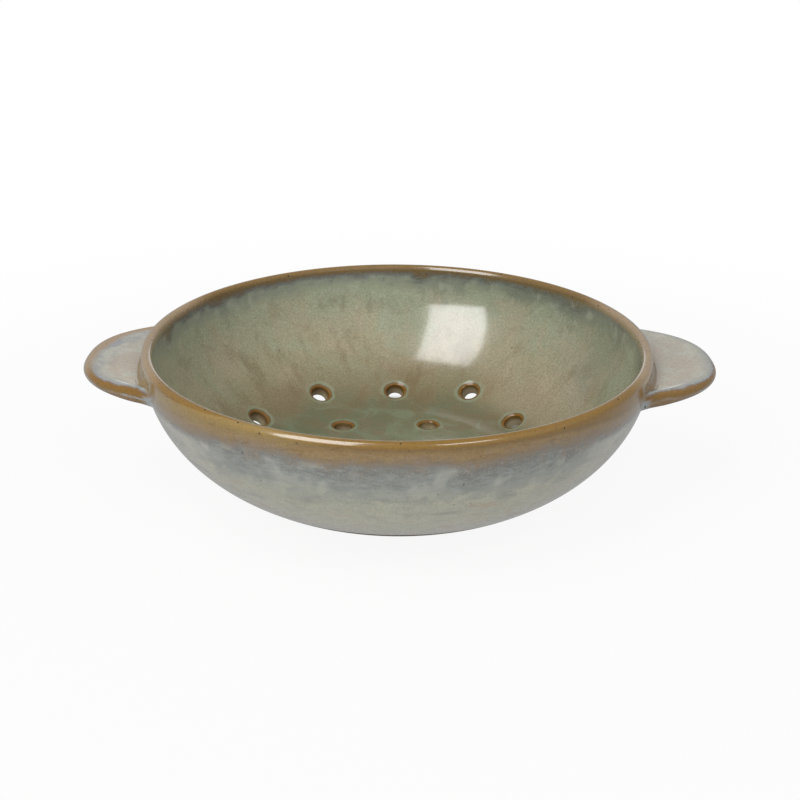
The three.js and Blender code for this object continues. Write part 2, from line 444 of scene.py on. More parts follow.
def colour_run(nodes, distance, steps, veil):
    """A colour that changes with a distance in metres; the steps are sRGB colours as they are seen."""
    first, last = steps[0][0], steps[-1][0]
    share = nodes.math("DIVIDE", nodes.math("SUBTRACT", distance, first), last - first)
    ramp = nodes.add("ShaderNodeValToRGB", {"Fac": share})
    elements = ramp.color_ramp.elements
    while len(elements) < len(steps):
        elements.new(1.0)
    for element, (place, colour) in zip(elements, steps):
        element.position = (place - first) / (last - first)
        element.color = seen(*colour, veil)
    return ramp.outputs["Color"]


def use_group(nodes, group, **values):
    """Places a shared effect with its own values."""
    node = nodes.add("ShaderNodeGroup", node_tree=group)
    for name, value in values.items():
        nodes.feed(node.inputs[name], value)
    return node.outputs


def measure(nodes, name):
    """A measurement stored on the piece's own mesh."""
    return nodes.add("ShaderNodeAttribute", attribute_name=name).outputs["Fac"]


print("helpers", new_material.__name__, colour_run.__name__, use_group.__name__, measure.__name__)

# %% Relief and gloss of every glazed piece
GLAZE_IOR = 1.52
COAT_IOR = 1.6
COAT_ROUGHNESS = 0.10
GLAZE_GLOSS = 0.12
GLAZE_SPREAD = 0.16
RELIEF_STRENGTH = 0.15
RELIEF_DEPTH = 0.0012


def finish_glaze(nodes, shader, colour):
    """Relief and gloss, the same on every glazed piece: a glassy coat over a softer body."""
    relief = use_group(nodes, glaze_relief, Gloss=GLAZE_GLOSS, Spread=GLAZE_SPREAD)
    bump = nodes.add("ShaderNodeBump", {"Strength": RELIEF_STRENGTH, "Distance": RELIEF_DEPTH})
    nodes.feed(bump.inputs["Height"], relief["Height"])
    nodes.feed(shader.inputs["Base Color"], colour)
    nodes.feed(shader.inputs["Roughness"], relief["Roughness"])
    nodes.feed(shader.inputs["Normal"], bump.outputs["Normal"])
    shader.inputs["IOR"].default_value = GLAZE_IOR
    shader.inputs["Coat Weight"].default_value = 1.0
    shader.inputs["Coat Roughness"].default_value = COAT_ROUGHNESS
    shader.inputs["Coat IOR"].default_value = COAT_IOR
    return relief["Roughness"]


print("coat of index", COAT_IOR, "over glaze of index", GLAZE_IOR)


# %% Helpers for layers of colour
def grained(nodes, colour, grain, strength):
    """Fine light and dark grain over a colour."""
    level = nodes.math("ADD", nodes.sway(grain, strength), 1.0)
    return nodes.tint(1.0, colour, nodes.join(level, level, level), "MULTIPLY")


def between(nodes, value, start, full, fading, end):
    """A mask that rises from start to full and falls again from fading to end."""
    return nodes.math("MULTIPLY", nodes.rise(value, start, full), nodes.rise(value, end, fading))


def part_tint(nodes, colour, mask, strength, over):
    """Lays a second colour over the first where the mask is, at some strength."""
    return nodes.tint(nodes.math("MULTIPLY", mask, strength), colour, over)


def lay_layers(nodes, colour, fall, run, layers):
    """Lays patches over a colour: each has its tone, strength, zone of the fall, noise and threshold."""
    for tone, strength, zone, noise, start, full in layers:
        patches = nodes.rise(run[noise], start, full)
        mask = nodes.math("MULTIPLY", between(nodes, fall, *zone), patches)
        colour = part_tint(nodes, colour, mask, strength, tone)
    return colour


print("helpers", grained.__name__, between.__name__, lay_layers.__name__)

# %% [markdown]
# The bowl's finish reads three measurements that its mesh will carry: fall, the distance down the wall from
# the lip; inner, which is 1 inside and 0 outside; and hole_gap, the distance from the wall of the nearest
# bore. Noise shifts the fall before it picks a colour, so the bands run into each other as glaze does. The
# outside is a node group, because the lugs and coils carry the same run where they join the wall.

# %% Values for the outside
RAGGED = {"Run": 0.012, "Streak": 0.010, "Cloud": 0.016}
OUTSIDE_EVEN = (0.003, 0.014)
INSIDE_EVEN = (0.0030, 0.0085)
LUG_SHIFT = 0.0055
SHIFT_ENDS = (0.026, 0.013)
LIP_FALL = 0.0030
LIP_END = 0.0065
TAUPE_STRENGTH = 0.75
OUTSIDE_GRAIN = 0.6
OUTSIDE_LAYERS = (
    (PALE_OCHRE, 0.50, (-0.001, 0.000, 0.004, 0.008), "Right", -0.15, -0.45),
    (DARK_OCHRE, 0.50, (0.0030, 0.0045, 0.0095, 0.0130), "Streak", 0.50, 0.68),
    (PALE_OCHRE, 0.40, (0.0040, 0.0055, 0.0095, 0.0130), "Streak", 0.48, 0.30),
    (MAUVE, 0.6, (0.005, 0.009, 0.014, 0.022), "Patch", 0.50, 0.62),
    (BLUE_GREY, 0.5, (0.010, 0.013, 0.018, 0.027), "Streak", 0.53, 0.38),
    (BLUE_GREY, 0.45, (0.008, 0.012, 0.022, 0.032), "Grain", 0.52, 0.62),
    (BLUE_PALE, 0.40, (0.010, 0.014, 0.026, 0.038), "Grain", 0.48, 0.38),
    (BLUE_PALE, 0.4, (0.010, 0.014, 0.024, 0.034), "Streak", 0.53, 0.68),
    (PALE_DRIP, 0.3, (0.012, 0.020, 0.034, 0.056), "Run", 0.52, 0.66),
    (PALE_DRIP, 0.5, (0.011, 0.016, 0.030, 0.042), "Blot", 0.50, 0.67),
    (MAUVE, 0.5, (0.006, 0.009, 0.011, 0.015), "Beside", 0.20, 0.80),
    (SIDE_PALE, 0.6, (0.013, 0.019, 0.036, 0.060), "Beside", 0.20, 0.75),
    (BLUE_GREY, 0.34, (0.020, 0.026, 0.044, 0.060), "Smear", 0.56, 0.28),
    (CREAM_BLOT, 0.5, (0.024, 0.032, 0.050, 0.066), "Blot", 0.52, 0.66),
    (PINK_SMUDGE, 0.6, (0.030, 0.040, 0.064, 0.070), "Smear", 0.55, 0.74),
)
print(len(OUTSIDE_LAYERS), "layers of glaze outside")


# %% Effect: the glaze on the outside
def shifted_fall(nodes, fall, run, even):
    """The fall with the unevenness of the running glaze; on the lip, where it starts, it stays even."""
    total = fall
    for noise, depth in RAGGED.items():
        total = nodes.math("ADD", total, nodes.sway(run[noise], depth))
    return nodes.lerp(nodes.rise(fall, *even), fall, total)


def taupe_lip(nodes, colour, fall, run):
    """Beside the lugs the thin glaze on the lip is taupe instead of ochre."""
    on_lip = nodes.rise(fall, LIP_END, LIP_FALL)
    return part_tint(nodes, colour, nodes.math("MULTIPLY", run["By lug"], on_lip), TAUPE_STRENGTH, TAUPE)


nodes, given, result = new_group(
    "outside_glaze", "ShaderNodeTree", [("Fall", FLOAT, 0.0)], [("Colour", COLOUR, None)])
run = use_group(nodes, glaze_run, Fall=given["Fall"])
shift = nodes.math("MULTIPLY", run["Beside"], nodes.rise(given["Fall"], *SHIFT_ENDS))
fall = nodes.math("SUBTRACT", given["Fall"], nodes.math("MULTIPLY", shift, LUG_SHIFT))
colour = colour_run(nodes, shifted_fall(nodes, fall, run, OUTSIDE_EVEN), OUTSIDE_RUN, OUTSIDE_VEIL)
colour = lay_layers(nodes, colour, fall, run, OUTSIDE_LAYERS)
colour = taupe_lip(nodes, colour, given["Fall"], run)
nodes.feed(result["Colour"], grained(nodes, colour, run["Grain"], OUTSIDE_GRAIN))
outside_glaze = nodes.tree
print("effect", outside_glaze.name)

# %% [markdown]
# The finish of the bowl's wall. Inside, a blue-grey fringe hangs under the brown lip, the wall is sage and
# tan, and the floor, where the glaze pooled, is green and brown. Round each hole the glaze is thin again: an
# ochre ring and a pale green halo, with a painted shade line between them. Outside, the glaze ends in a
# narrow dark line above the foot, and below it the clay is bare. A glassy coat lies over the glaze. It is
# weaker on the floor and in the holes, and the back left quarter of the inside is satin, because nothing is
# mirrored there. All of it could be painted on an unwrapped mesh, but masks made of the measurements follow
# wherever a hole goes.

# %% Values for the bowl's wall
INSIDE_GRAIN = 1.0
FLOOR_GRAIN = 0.6
FLOOR_STARTS = (0.060, 0.095)
INSIDE_LAYERS = (
    (BLUE_GREY, 0.55, (0.004, 0.007, 0.010, 0.018), "Grain", 0.50, 0.60),
    (SHADOW_SAGE, 0.20, (0.006, 0.010, 0.024, 0.044), "Patch", 0.50, 0.68),
    (SHADOW_SAGE, 0.50, (0.004, 0.007, 0.011, 0.024), "Right", 0.10, 0.60),
    (SHADOW_SAGE, 0.35, (0.008, 0.014, 0.040, 0.065), "Right", 0.80, 0.97),
    (PALE_SAGE, 0.40, (0.006, 0.009, 0.014, 0.024), "Blot", 0.50, 0.70),
    (SAGE, 0.55, (0.008, 0.014, 0.045, 0.075), "Cloud", 0.50, 0.62),
    (TAN_PATCH, 0.55, (0.020, 0.035, 0.060, 0.090), "Cloud", 0.50, 0.38),
    (OLIVE, 0.3, (0.012, 0.025, 0.065, 0.090), "Patch", 0.54, 0.70),
    (BROWN_PATCH, 0.5, (0.055, 0.070, 0.085, 0.100), "Cloud", 0.48, 0.40),
    (POOL_GREEN, 0.5, (0.072, 0.095, 0.200, 0.300), "Cloud", 0.46, 0.55),
    (TAN_PATCH, 0.45, (0.012, 0.020, 0.045, 0.065), "Run", 0.50, 0.68),
    (BROWN_PATCH, 0.45, (0.030, 0.045, 0.075, 0.095), "Run", 0.52, 0.34),
    (POOL_PALE, 0.40, (0.076, 0.095, 0.200, 0.300), "Swirl", 0.50, 0.66),
    (TAN_PATCH, 0.50, (0.040, 0.055, 0.072, 0.090), "Right", 0.45, 0.75),
)
# The second ring round each hole is painted shade: a dark line just outside the ochre ring.
HOLE_EDGES = (
    (HALO_GREEN, 0.40, 0.0030, 0.0012, 0.0045, 0.006),
    (RIM_PAINTED_SHADE, 0.8, 0.0015, 0.0004, 0.0008, 0.003),
    (OCHRE, 0.85, 0.0009, 0.0003, 0.0006, 0.003),
    (BORE_BROWN, 0.85, 0.0000, 0.0001, 0.0003, 0.003),
    (BORE_GREY, 0.8, -0.0005, 0.0003, 0.0004, 0.003),
)
GLAZE_STOPS = 0.0705
DRY_FULL = 0.0713
CLAY_START = 0.0728
CLAY_FULL = 0.0752
CLAY_BLOTCH = (0.42, 0.62)
CLAY_GRAIN = 0.9
DRY_EDGE = 0.0030
DRY_ROUGHNESS = 0.8
FLOOR_COAT = 0.25
COAT_FADES = (0.040, 0.076)
SATIN_SIDE = (0.05, -0.15)
SATIN_BACK = (-0.2, 0.4)
SATIN_FALL = (0.0005, 0.0030)
SATIN_COAT = 0.05
SATIN_ROUGHNESS = 0.45
HOLE_COAT = 0.25
HOLE_COAT_EDGE = (0.0022, 0.0010)
CLAY = (0.28, 0.19, 0.115, 1.0)
CLAY_PALE = (0.40, 0.29, 0.18, 1.0)
LIP_SPECKS = {"Spacing": 0.0038, "Share": 0.8, "Size": 0.13}
FINE_SPECKS = {"Spacing": 0.0034, "Share": 0.3, "Size": 0.10}
FINE_STRENGTH = 0.7
print(len(INSIDE_LAYERS), "layers of glaze inside,", len(HOLE_EDGES), "rings round each hole")

# %% Finish: the bowl's wall, its colour
wall_glaze, nodes, shader = new_material("wall_glaze")
fall = measure(nodes, "fall")
hole_gap = measure(nodes, "hole_gap")
run = use_group(nodes, glaze_run, Fall=fall)
inside = colour_run(nodes, shifted_fall(nodes, fall, run, INSIDE_EVEN), INSIDE_RUN, VEIL)
inside = lay_layers(nodes, inside, fall, run, INSIDE_LAYERS)
inside = taupe_lip(nodes, inside, fall, run)
calmer = nodes.lerp(nodes.rise(fall, *FLOOR_STARTS), INSIDE_GRAIN, FLOOR_GRAIN)
inside = grained(nodes, inside, run["Grain"], calmer)
outside = use_group(nodes, outside_glaze, Fall=fall)["Colour"]
to_foot = nodes.math("ADD", fall, nodes.sway(run["Run"], DRY_EDGE))
dry = nodes.rise(to_foot, GLAZE_STOPS, DRY_FULL)
outside = nodes.tint(dry, outside, GLAZE_END)
clay = nodes.tint(nodes.rise(run["Cloud"], *CLAY_BLOTCH), CLAY, CLAY_PALE)
clay = grained(nodes, clay, run["Grain"], CLAY_GRAIN)
outside = nodes.tint(nodes.rise(to_foot, CLAY_START, CLAY_FULL), outside, clay)
inner = measure(nodes, "inner")
colour = nodes.tint(inner, outside, inside)
for tone, strength, limit, soft, ragged, size in HOLE_EDGES:
    edge = use_group(nodes, thin_edge, Distance=hole_gap, Limit=limit, Soft=soft, Ragged=ragged, Size=size)
    colour = part_tint(nodes, colour, edge["Mask"], strength, tone)
lip_specks = use_group(nodes, iron_specks, **LIP_SPECKS)["Mask"]
lip_specks = nodes.math("MULTIPLY", lip_specks, nodes.rise(fall, LIP_END, LIP_FALL))
fine_specks = use_group(nodes, iron_specks, **FINE_SPECKS)["Mask"]
fine_specks = nodes.math("MULTIPLY", fine_specks, FINE_STRENGTH)
colour = nodes.tint(nodes.math("MAXIMUM", lip_specks, fine_specks), colour, IRON_BROWN)
print("colour of", wall_glaze.name)

# %% Finish: the bowl's wall, its gloss
roughness = finish_glaze(nodes, shader, colour)
dry = nodes.math("MULTIPLY", dry, nodes.math("SUBTRACT", 1.0, inner))
at_left = nodes.rise(run["Right"], *SATIN_SIDE)
at_back = nodes.rise(run["Back"], *SATIN_BACK)
satin = nodes.product(at_left, at_back, inner, nodes.rise(fall, *SATIN_FALL))
roughness = nodes.math("ADD", roughness, nodes.math("MULTIPLY", satin, SATIN_ROUGHNESS))
nodes.feed(shader.inputs["Roughness"], nodes.lerp(dry, roughness, DRY_ROUGHNESS))
inside_coat = nodes.lerp(nodes.rise(fall, *COAT_FADES), 1.0, FLOOR_COAT)
inside_coat = nodes.lerp(satin, inside_coat, SATIN_COAT)
outside_coat = nodes.math("SUBTRACT", 1.0, dry)
coat = nodes.lerp(inner, outside_coat, inside_coat)
at_hole = nodes.rise(hole_gap, *HOLE_COAT_EDGE)
nodes.feed(shader.inputs["Coat Weight"], nodes.math("MULTIPLY", coat, nodes.lerp(at_hole, 1.0, HOLE_COAT)))
print("finish", wall_glaze.name, len(wall_glaze.node_tree.nodes), "nodes")

# %% [markdown]
# The lugs carry the same glaze, thicker on their flat tops, where it stays pale grey-green with blue-grey
# mottling. Over the rounded edge it breaks to ochre, with a thin blue line on either side, and one lug has a
# taupe band inside its edge. The meshes carry edge, the distance from where the top turns over into the
# round edge, positive on top; band, the width of the taupe band; root, the distance from the wall; and fall,
# so that a lug takes on the wall's own run where it joins it. One function colours lugs and coils alike, so
# that they melt into each other.

# %% Values for lugs and coils
EDGE_RUN = (
    (-0.0180, (146, 134, 118)),
    (-0.0100, (130, 104, 72)),
    (-0.0072, (136, 112, 84)),
    (-0.0062, (142, 126, 108)),
    (-0.0054, (130, 106, 70)),
    (-0.0042, (134, 103, 58)),
    (-0.0024, (132, 103, 62)),
    (-0.0017, (126, 113, 102)),
    (-0.0010, (148, 150, 150)),
    (0.0006, (166, 167, 159)),
    (0.0050, (180, 175, 161)),
)
LUG_BLUE = seen(146, 150, 156)
LUG_PINK = seen(181, 167, 152)
LUG_CREAM = seen(186, 185, 173)
LUG_GRAIN = 0.7
TOP_LAYERS = (
    (BLUE_PALE, 0.7, (-0.0070, -0.0063, -0.0059, -0.0052), "Run", 0.42, 0.52),
    (LUG_CREAM, 0.7, (0.0010, 0.0040, 0.2, 0.3), "Patch", 0.48, 0.60),
    (LUG_PINK, 0.7, (0.005, 0.010, 0.2, 0.3), "Cloud", 0.44, 0.58),
)
MOTTLE_LAYERS = ((LUG_BLUE, 0.75, (-0.0015, 0.0, 0.005, 0.013), "Patch", 0.53, 0.41),)
WIDE_BAND = (0.0006, 0.0026)
RAGGED_EDGE = 0.0042
BAND_SOFT = 0.0018
BAND_STRETCH = 0.4
NOSE_ENDS = (-0.0070, -0.0050)
LUG_JOINT = 0.0010
COIL_JOINT = 0.0030
JOINT_SOFT = 0.0008
JOINT_RAGGED = 0.0016
JOINT_WAVE = 0.005
BAND_STRENGTH = 0.85
POOL_PATCHES = (0.40, 0.52)
POOL_STRENGTH = 0.75
LUG_SPECKS = {"Spacing": 0.0036, "Share": 0.6, "Size": 0.13}
TOP_SPECKS = 0.25
POOL_REACH = (0.0042, 0.0016)
POOL_BELOW = (-0.0032, -0.0046)
EDGE_SPECKS_END = -0.0008
EDGE_SPECKS_FULL = -0.0022
print(len(EDGE_RUN), "steps of colour over the edge of a lug")


# %% Finish: lugs and coils
def lug_colour(nodes, joint_width):
    """The glaze on a lug or on the coil beside it, with the wall's own glaze next to the joint."""
    edge = measure(nodes, "edge")
    band = measure(nodes, "band")
    run = use_group(nodes, glaze_run, Fall=edge)
    wavering = nodes.math("ADD", edge, nodes.sway(run["Patch"], RAGGED_EDGE))
    on_nose = nodes.rise(edge, *NOSE_ENDS)
    past_band = nodes.math("SUBTRACT", wavering, nodes.math("MULTIPLY", band, on_nose))
    wide = nodes.rise(band, *WIDE_BAND)
    on_top = nodes.math("MAXIMUM", past_band, 0.0)
    stretched = nodes.math("MULTIPLY", on_top, nodes.lerp(wide, 1.0, BAND_STRETCH))
    softened = nodes.math("ADD", stretched, nodes.math("MINIMUM", past_band, 0.0))
    colour = colour_run(nodes, softened, EDGE_RUN, VEIL)
    colour = lay_layers(nodes, colour, past_band, run, TOP_LAYERS)
    mottled = lay_layers(nodes, colour, past_band, run, MOTTLE_LAYERS)
    colour = nodes.tint(wide, colour, mottled)
    inside_band = nodes.math("MULTIPLY", nodes.rise(past_band, BAND_SOFT, -BAND_SOFT), on_nose)
    colour = part_tint(nodes, colour, nodes.math("MULTIPLY", inside_band, wide), BAND_STRENGTH, TAUPE)
    colour = grained(nodes, colour, run["Grain"], LUG_GRAIN)
    wall = use_group(nodes, outside_glaze, Fall=measure(nodes, "fall"))["Colour"]
    root = measure(nodes, "root")
    joint = use_group(nodes, thin_edge, Distance=root, Limit=joint_width, Soft=JOINT_SOFT,
                      Ragged=JOINT_RAGGED, Size=JOINT_WAVE)
    colour = nodes.tint(joint["Mask"], colour, wall)
    pool = nodes.math("MULTIPLY", nodes.rise(root, *POOL_REACH), nodes.rise(edge, *POOL_BELOW))
    pool = nodes.math("MULTIPLY", pool, nodes.rise(run["Patch"], *POOL_PATCHES))
    colour = part_tint(nodes, colour, pool, POOL_STRENGTH, BLUE_PALE)
    specks = use_group(nodes, iron_specks, **LUG_SPECKS)["Mask"]
    on_edge = nodes.rise(edge, EDGE_SPECKS_END, EDGE_SPECKS_FULL)
    specks = nodes.math("MULTIPLY", specks, nodes.math("MAXIMUM", on_edge, TOP_SPECKS))
    return nodes.tint(specks, colour, IRON_BROWN)


handle_glaze, nodes, shader = new_material("handle_glaze")
finish_glaze(nodes, shader, lug_colour(nodes, LUG_JOINT))

seam_glaze, nodes, shader = new_material("seam_glaze")
finish_glaze(nodes, shader, lug_colour(nodes, COIL_JOINT))
print("finishes", handle_glaze.name, seam_glaze.name)

# %% [markdown]
# The foot ring is wiped clean of glaze so that the pot doesn't stick to the kiln shelf. What shows there is
# the fired clay: buff, dry, gritty, with dark iron spots, and browner toward its top, where it meets the
# underside of the bowl.

# %% Finish: bare clay
FOOT_CLAY = (0.42, 0.29, 0.17, 1.0)
CLAY_DARK = (0.27, 0.17, 0.09, 1.0)
CLAY_LIGHT = (0.55, 0.42, 0.28, 1.0)
BLOTCH_SIZE = 0.012
BLOTCH_ENDS = (0.45, 0.65)
BROWNER_START = 0.3
BROWNER_STRENGTH = 0.6
GRIT_SIZE = 0.0007
GRIT_STRENGTH = 0.8
GRIT_RELIEF = 0.5
GRIT_DEPTH = 0.0004
CLAY_ROUGHNESS = 0.7
GRIT_ROUGHNESS = 0.3
CLAY_SPECKS = {"Spacing": 0.003, "Share": 0.5, "Size": 0.12}

bare_clay, nodes, shader = new_material("bare_clay")
place = nodes.add("ShaderNodeTexCoord").outputs["Object"]
blotch = nodes.noise(place, BLOTCH_SIZE, detail=4.0, roughness=0.6)
colour = nodes.tint(nodes.rise(blotch, *BLOTCH_ENDS), FOOT_CLAY, CLAY_LIGHT)
# Browner toward the top of the foot, where it meets the underside of the bowl.
browner_to_top = nodes.rise(nodes.split(place)[2], FOOT_HEIGHT * BROWNER_START, FOOT_HEIGHT)
colour = part_tint(nodes, colour, browner_to_top, BROWNER_STRENGTH, CLAY_DARK)
grit = nodes.noise(place, GRIT_SIZE, detail=3.0, roughness=0.7)
colour = grained(nodes, colour, grit, GRIT_STRENGTH)
specks = use_group(nodes, iron_specks, **CLAY_SPECKS)["Mask"]
colour = nodes.tint(specks, colour, IRON_BROWN)
nodes.feed(shader.inputs["Base Color"], colour)
roughness = nodes.math("ADD", CLAY_ROUGHNESS, nodes.math("MULTIPLY", grit, GRIT_ROUGHNESS))
nodes.feed(shader.inputs["Roughness"], roughness)
bump = nodes.add("ShaderNodeBump", {"Strength": GRIT_RELIEF, "Distance": GRIT_DEPTH, "Height": grit})
nodes.feed(shader.inputs["Normal"], bump.outputs["Normal"])
print("finish", bare_clay.name)

# %% [markdown]
# The bowl's shape follows a rule: one section, turned about the axis. A Screw modifier or bmesh.ops.spin
# would do it, but Geometry Nodes also let the turned shape be pierced and measured in the same tree. The
# section is a chain of points from the axis under the floor, up the outside, over the lip and down to the
# floor inside, where the corner is eased as the potter's fingers leave it.

# %% The bowl's section
UNDERSIDE_ROWS = 8
WALL_ROWS = 84
LIP_ROWS = 14
FLOOR_ROWS = 34
EASING_PASSES = 60


def eased(points):
    """The same chain with sudden changes of curvature smoothed out; its ends stay."""
    for _ in range(EASING_PASSES):
        rows = zip(points, points[1:], points[2:])
        points = [points[0], *[(a + b * 2 + c) / 4 for a, b, c in rows], points[-1]]
    return points


def bowl_section():
    """Points (radius, height) of the section, in order, and the index of the lip's crest."""
    steps = [i / UNDERSIDE_ROWS for i in range(UNDERSIDE_ROWS)]
    points = [Vector((BASE_RADIUS * step, FOOT_HEIGHT)) for step in steps]
    points += [wall_outside(i / WALL_ROWS) for i in range(WALL_ROWS)]
    lip_centre = Vector((RIM_RADIUS - LIP_RADIUS, WALL_TOP))
    crest = len(points) + LIP_ROWS // 2
    for i in range(LIP_ROWS):
        turn = math.pi * i / LIP_ROWS
        points.append(lip_centre + Vector((math.cos(turn), math.sin(turn))) * LIP_RADIUS)
    inside = [wall_inside(1 - i / WALL_ROWS) for i in range(WALL_ROWS)]
    inside += [Vector((BASE_RADIUS * (1 - i / FLOOR_ROWS), FLOOR_TOP)) for i in range(FLOOR_ROWS + 1)]
    return points + eased(inside), crest


section, crest = bowl_section()
along = [0.0]
for before, after in zip(section, section[1:]):
    along.append(along[-1] + (after - before).length)
print(len(section), "points in the section, %.0f mm long" % (along[-1] * 1000))


# %% The section as a mesh
def new_piece(name, points, edges, faces):
    """A new mesh object in the scene."""
    mesh = bpy.data.meshes.new(name)
    mesh.from_pydata(points, edges, faces)
    piece = bpy.data.objects.new(name, mesh)
    bpy.context.scene.collection.objects.link(piece)
    return piece


def keep_measure(piece, label, values):
    """Stores one number per point on a piece's mesh."""
    piece.data.attributes.new(label, "FLOAT", "POINT").data.foreach_set("value", values)


def section_object(name, points, measures):
    """A mesh of loose edges in the XZ plane that carries one number per point for each measure."""
    edges = [(i, i + 1) for i in range(len(points) - 1)]
    piece = new_piece(name, [(p.x, 0.0, p.y) for p in points], edges, [])
    for label, values in measures.items():
        keep_measure(piece, label, values)
    return piece


falls = [abs(length - along[crest]) for length in along]
inners = [1.0 if i > crest else 0.0 for i in range(len(section))]
bowl = section_object("stoneware_bowl", section, {"fall": falls, "inner": inners})
print(bowl.name, "starts as", len(bowl.data.edges), "edges")

# %% [markdown]
# First tree: thrown on the wheel. A grid has one row for each point of the section and one column for each
# step round the wheel. Each grid point takes its place from the section and is turned by its column, then
# the first and last columns and the points on the axis are merged. Two slow waves take a little off the
# radius, because nothing thrown by hand is quite round, and only take off, so the bowl keeps its size. The
# waves are the sine of twice the turn and the cosine of three times the turn, worked out from the heading.

# %% Tree: thrown on the wheel
WOBBLE_MIDDLE = 0.5
OVAL = 0.3
THREE_SIDED = 0.2
MERGE_DISTANCE = 1e-6

nodes, given, result = new_group(
    "thrown_on_the_wheel", "GeometryNodeTree",
    [("Section", GEOMETRY, None), ("Columns", WHOLE, 360), ("Rows", WHOLE, 2), ("Wobble", FLOAT, 0.0)],
    [("Thrown", GEOMETRY, None)],
)
last_row = nodes.math("SUBTRACT", given["Rows"], 1.0)
grid = nodes.add("GeometryNodeMeshGrid", {"Vertices Y": given["Rows"]})
nodes.feed(grid.inputs["Vertices X"], nodes.math("ADD", given["Columns"], 1.0))
turn_share, row_share = nodes.split(grid.outputs["UV Map"])[:2]
row = nodes.math("ROUND", nodes.math("MULTIPLY", row_share, last_row))
sample = nodes.add("GeometryNodeSampleIndex", data_type="FLOAT_VECTOR")
nodes.feed(sample.inputs["Geometry"], given["Section"])
nodes.feed(sample.inputs["Value"], nodes.add("GeometryNodeInputPosition").outputs[0])
nodes.feed(sample.inputs["Index"], row)
turned = nodes.add("ShaderNodeVectorRotate", {"Vector": sample.outputs[0]}, rotation_type="Z_AXIS")
nodes.feed(turned.inputs["Angle"], nodes.math("MULTIPLY", turn_share, math.tau))
placed = nodes.add("GeometryNodeSetPosition", {"Geometry": grid.outputs["Mesh"]})
nodes.feed(placed.inputs["Position"], turned.outputs[0])
merged = nodes.add("GeometryNodeMergeByDistance", {"Geometry": placed.outputs[0]})
nodes.feed(merged.inputs["Distance"], MERGE_DISTANCE)
x, y = nodes.split(nodes.add("GeometryNodeInputPosition").outputs[0])[:2]
radial = nodes.vector("NORMALIZE", nodes.join(x, y, 0.0))
heading_x, heading_y = nodes.split(radial)[:2]
two_waves = nodes.product(heading_x, heading_y, 2 * OVAL)
square_x = nodes.math("MULTIPLY", heading_x, heading_x)
three_waves = nodes.math("SUBTRACT", nodes.math("MULTIPLY", square_x, 4.0), 3.0)
three_waves = nodes.product(three_waves, heading_x, THREE_SIDED)
taken = nodes.math("ADD", nodes.math("ADD", two_waves, three_waves), WOBBLE_MIDDLE)
level = nodes.math("DIVIDE", nodes.vector("LENGTH", nodes.join(x, y, 0.0)), RIM_RADIUS)
taken = nodes.product(taken, level, given["Wobble"])
shift = nodes.scaled(radial, nodes.math("MULTIPLY", taken, -1.0))
wobbled = nodes.add("GeometryNodeSetPosition", {"Geometry": merged.outputs[0], "Offset": shift})
smooth = nodes.add("GeometryNodeSetShadeSmooth", {"Geometry": wobbled.outputs[0]})
nodes.feed(result["Thrown"], smooth.outputs[0])
thrown_on_the_wheel = nodes.tree
print("tree", thrown_on_the_wheel.name)


# %% Helpers for trees that build on it
def thrown_from(nodes, given):
    """Places the first tree in another one and passes its inputs on."""
    thrown = nodes.add("GeometryNodeGroup", node_tree=thrown_on_the_wheel)
    for name in ("Section", "Columns", "Rows", "Wobble"):
        nodes.feed(thrown.inputs[name], given[name])
    return thrown.outputs[0]


def real_and_painted(nodes, geometry, material):
    """The end of a tree: instances made real, and the material set."""
    real = nodes.add("GeometryNodeRealizeInstances", {"Geometry": geometry})
    painted = nodes.add("GeometryNodeSetMaterial", {"Geometry": real.outputs[0], "Material": material})
    return painted.outputs[0]


print("helpers", thrown_from.__name__, real_and_painted.__name__)

# %% [markdown]
# The holes were bored by hand in two rings, square to the wall, so their places stray a little. Each place
# is a loose point with two measurements: the direction of the bore and the thickness of the wall there. A
# hole is written as its turn round the bowl in degrees and how far it strays from its ring.

# %% Places of the drain holes
OUTER_RING = 0.079
INNER_RING = 0.049
OUTER_HOLES = (
    (31.5, -0.005), (60, 0.003), (91, -0.002), (122.5, 0.002), (156, 0.0025), (193, 0.0),
    (230, 0.001), (264, 0.0), (295, 0.001), (327, -0.001), (0, 0.0),
)
INNER_HOLES = ((8, 0.0), (68, -0.003), (126, 0.0015), (186, 0.0), (247, 0.0), (307, 0.0))


def hole_place(turn, radius):
    """Point on the inside surface, direction of the bore (into the bowl) and thickness of the wall."""
    if radius <= BASE_RADIUS:
        inside, outside = Vector((radius, FLOOR_TOP)), Vector((radius, FOOT_HEIGHT))
    else:
        share = share_at(wall_inside, 0, radius)
        inside, outside = wall_inside(share), wall_outside(share)
    bore = (inside - outside).normalized()
    heading = Vector((math.cos(math.radians(turn)), math.sin(math.radians(turn)), 0.0))
    up = Vector((0.0, 0.0, 1.0))
    return heading * inside.x + up * inside.y, heading * bore.x + up * bore.y, (inside - outside).length


holes = [hole_place(turn, OUTER_RING + stray) for turn, stray in OUTER_HOLES]
holes += [hole_place(turn, INNER_RING + stray) for turn, stray in INNER_HOLES]
hole_points, hole_bores, hole_depths = zip(*holes)
hole_places = new_piece("hole_places", hole_points, [], [])
bore_parts = [part for bore in hole_bores for part in bore]
hole_places.data.attributes.new("bore", "FLOAT_VECTOR", "POINT").data.foreach_set("vector", bore_parts)
keep_measure(hole_places, "depth", hole_depths)
print(len(holes), "holes")

# %% [markdown]
# Second tree: pierced. The cutter is a spool: a cylinder as wide as the bore, a little narrower toward the
# outside, that flares in a round at both ends, so that what it leaves is a bore with softened mouths. It is
# instanced on the hole places, turned along each bore, made a little larger or smaller at random, and taken
# away from the bowl with a Boolean. A cutter could also be placed once per hole by hand, but then moving a
# ring would mean moving every hole. After the cut, each point looks up what the finish needs: the nearest
# point of the section gives fall and inner, and the nearest hole gives the distance from its bore.

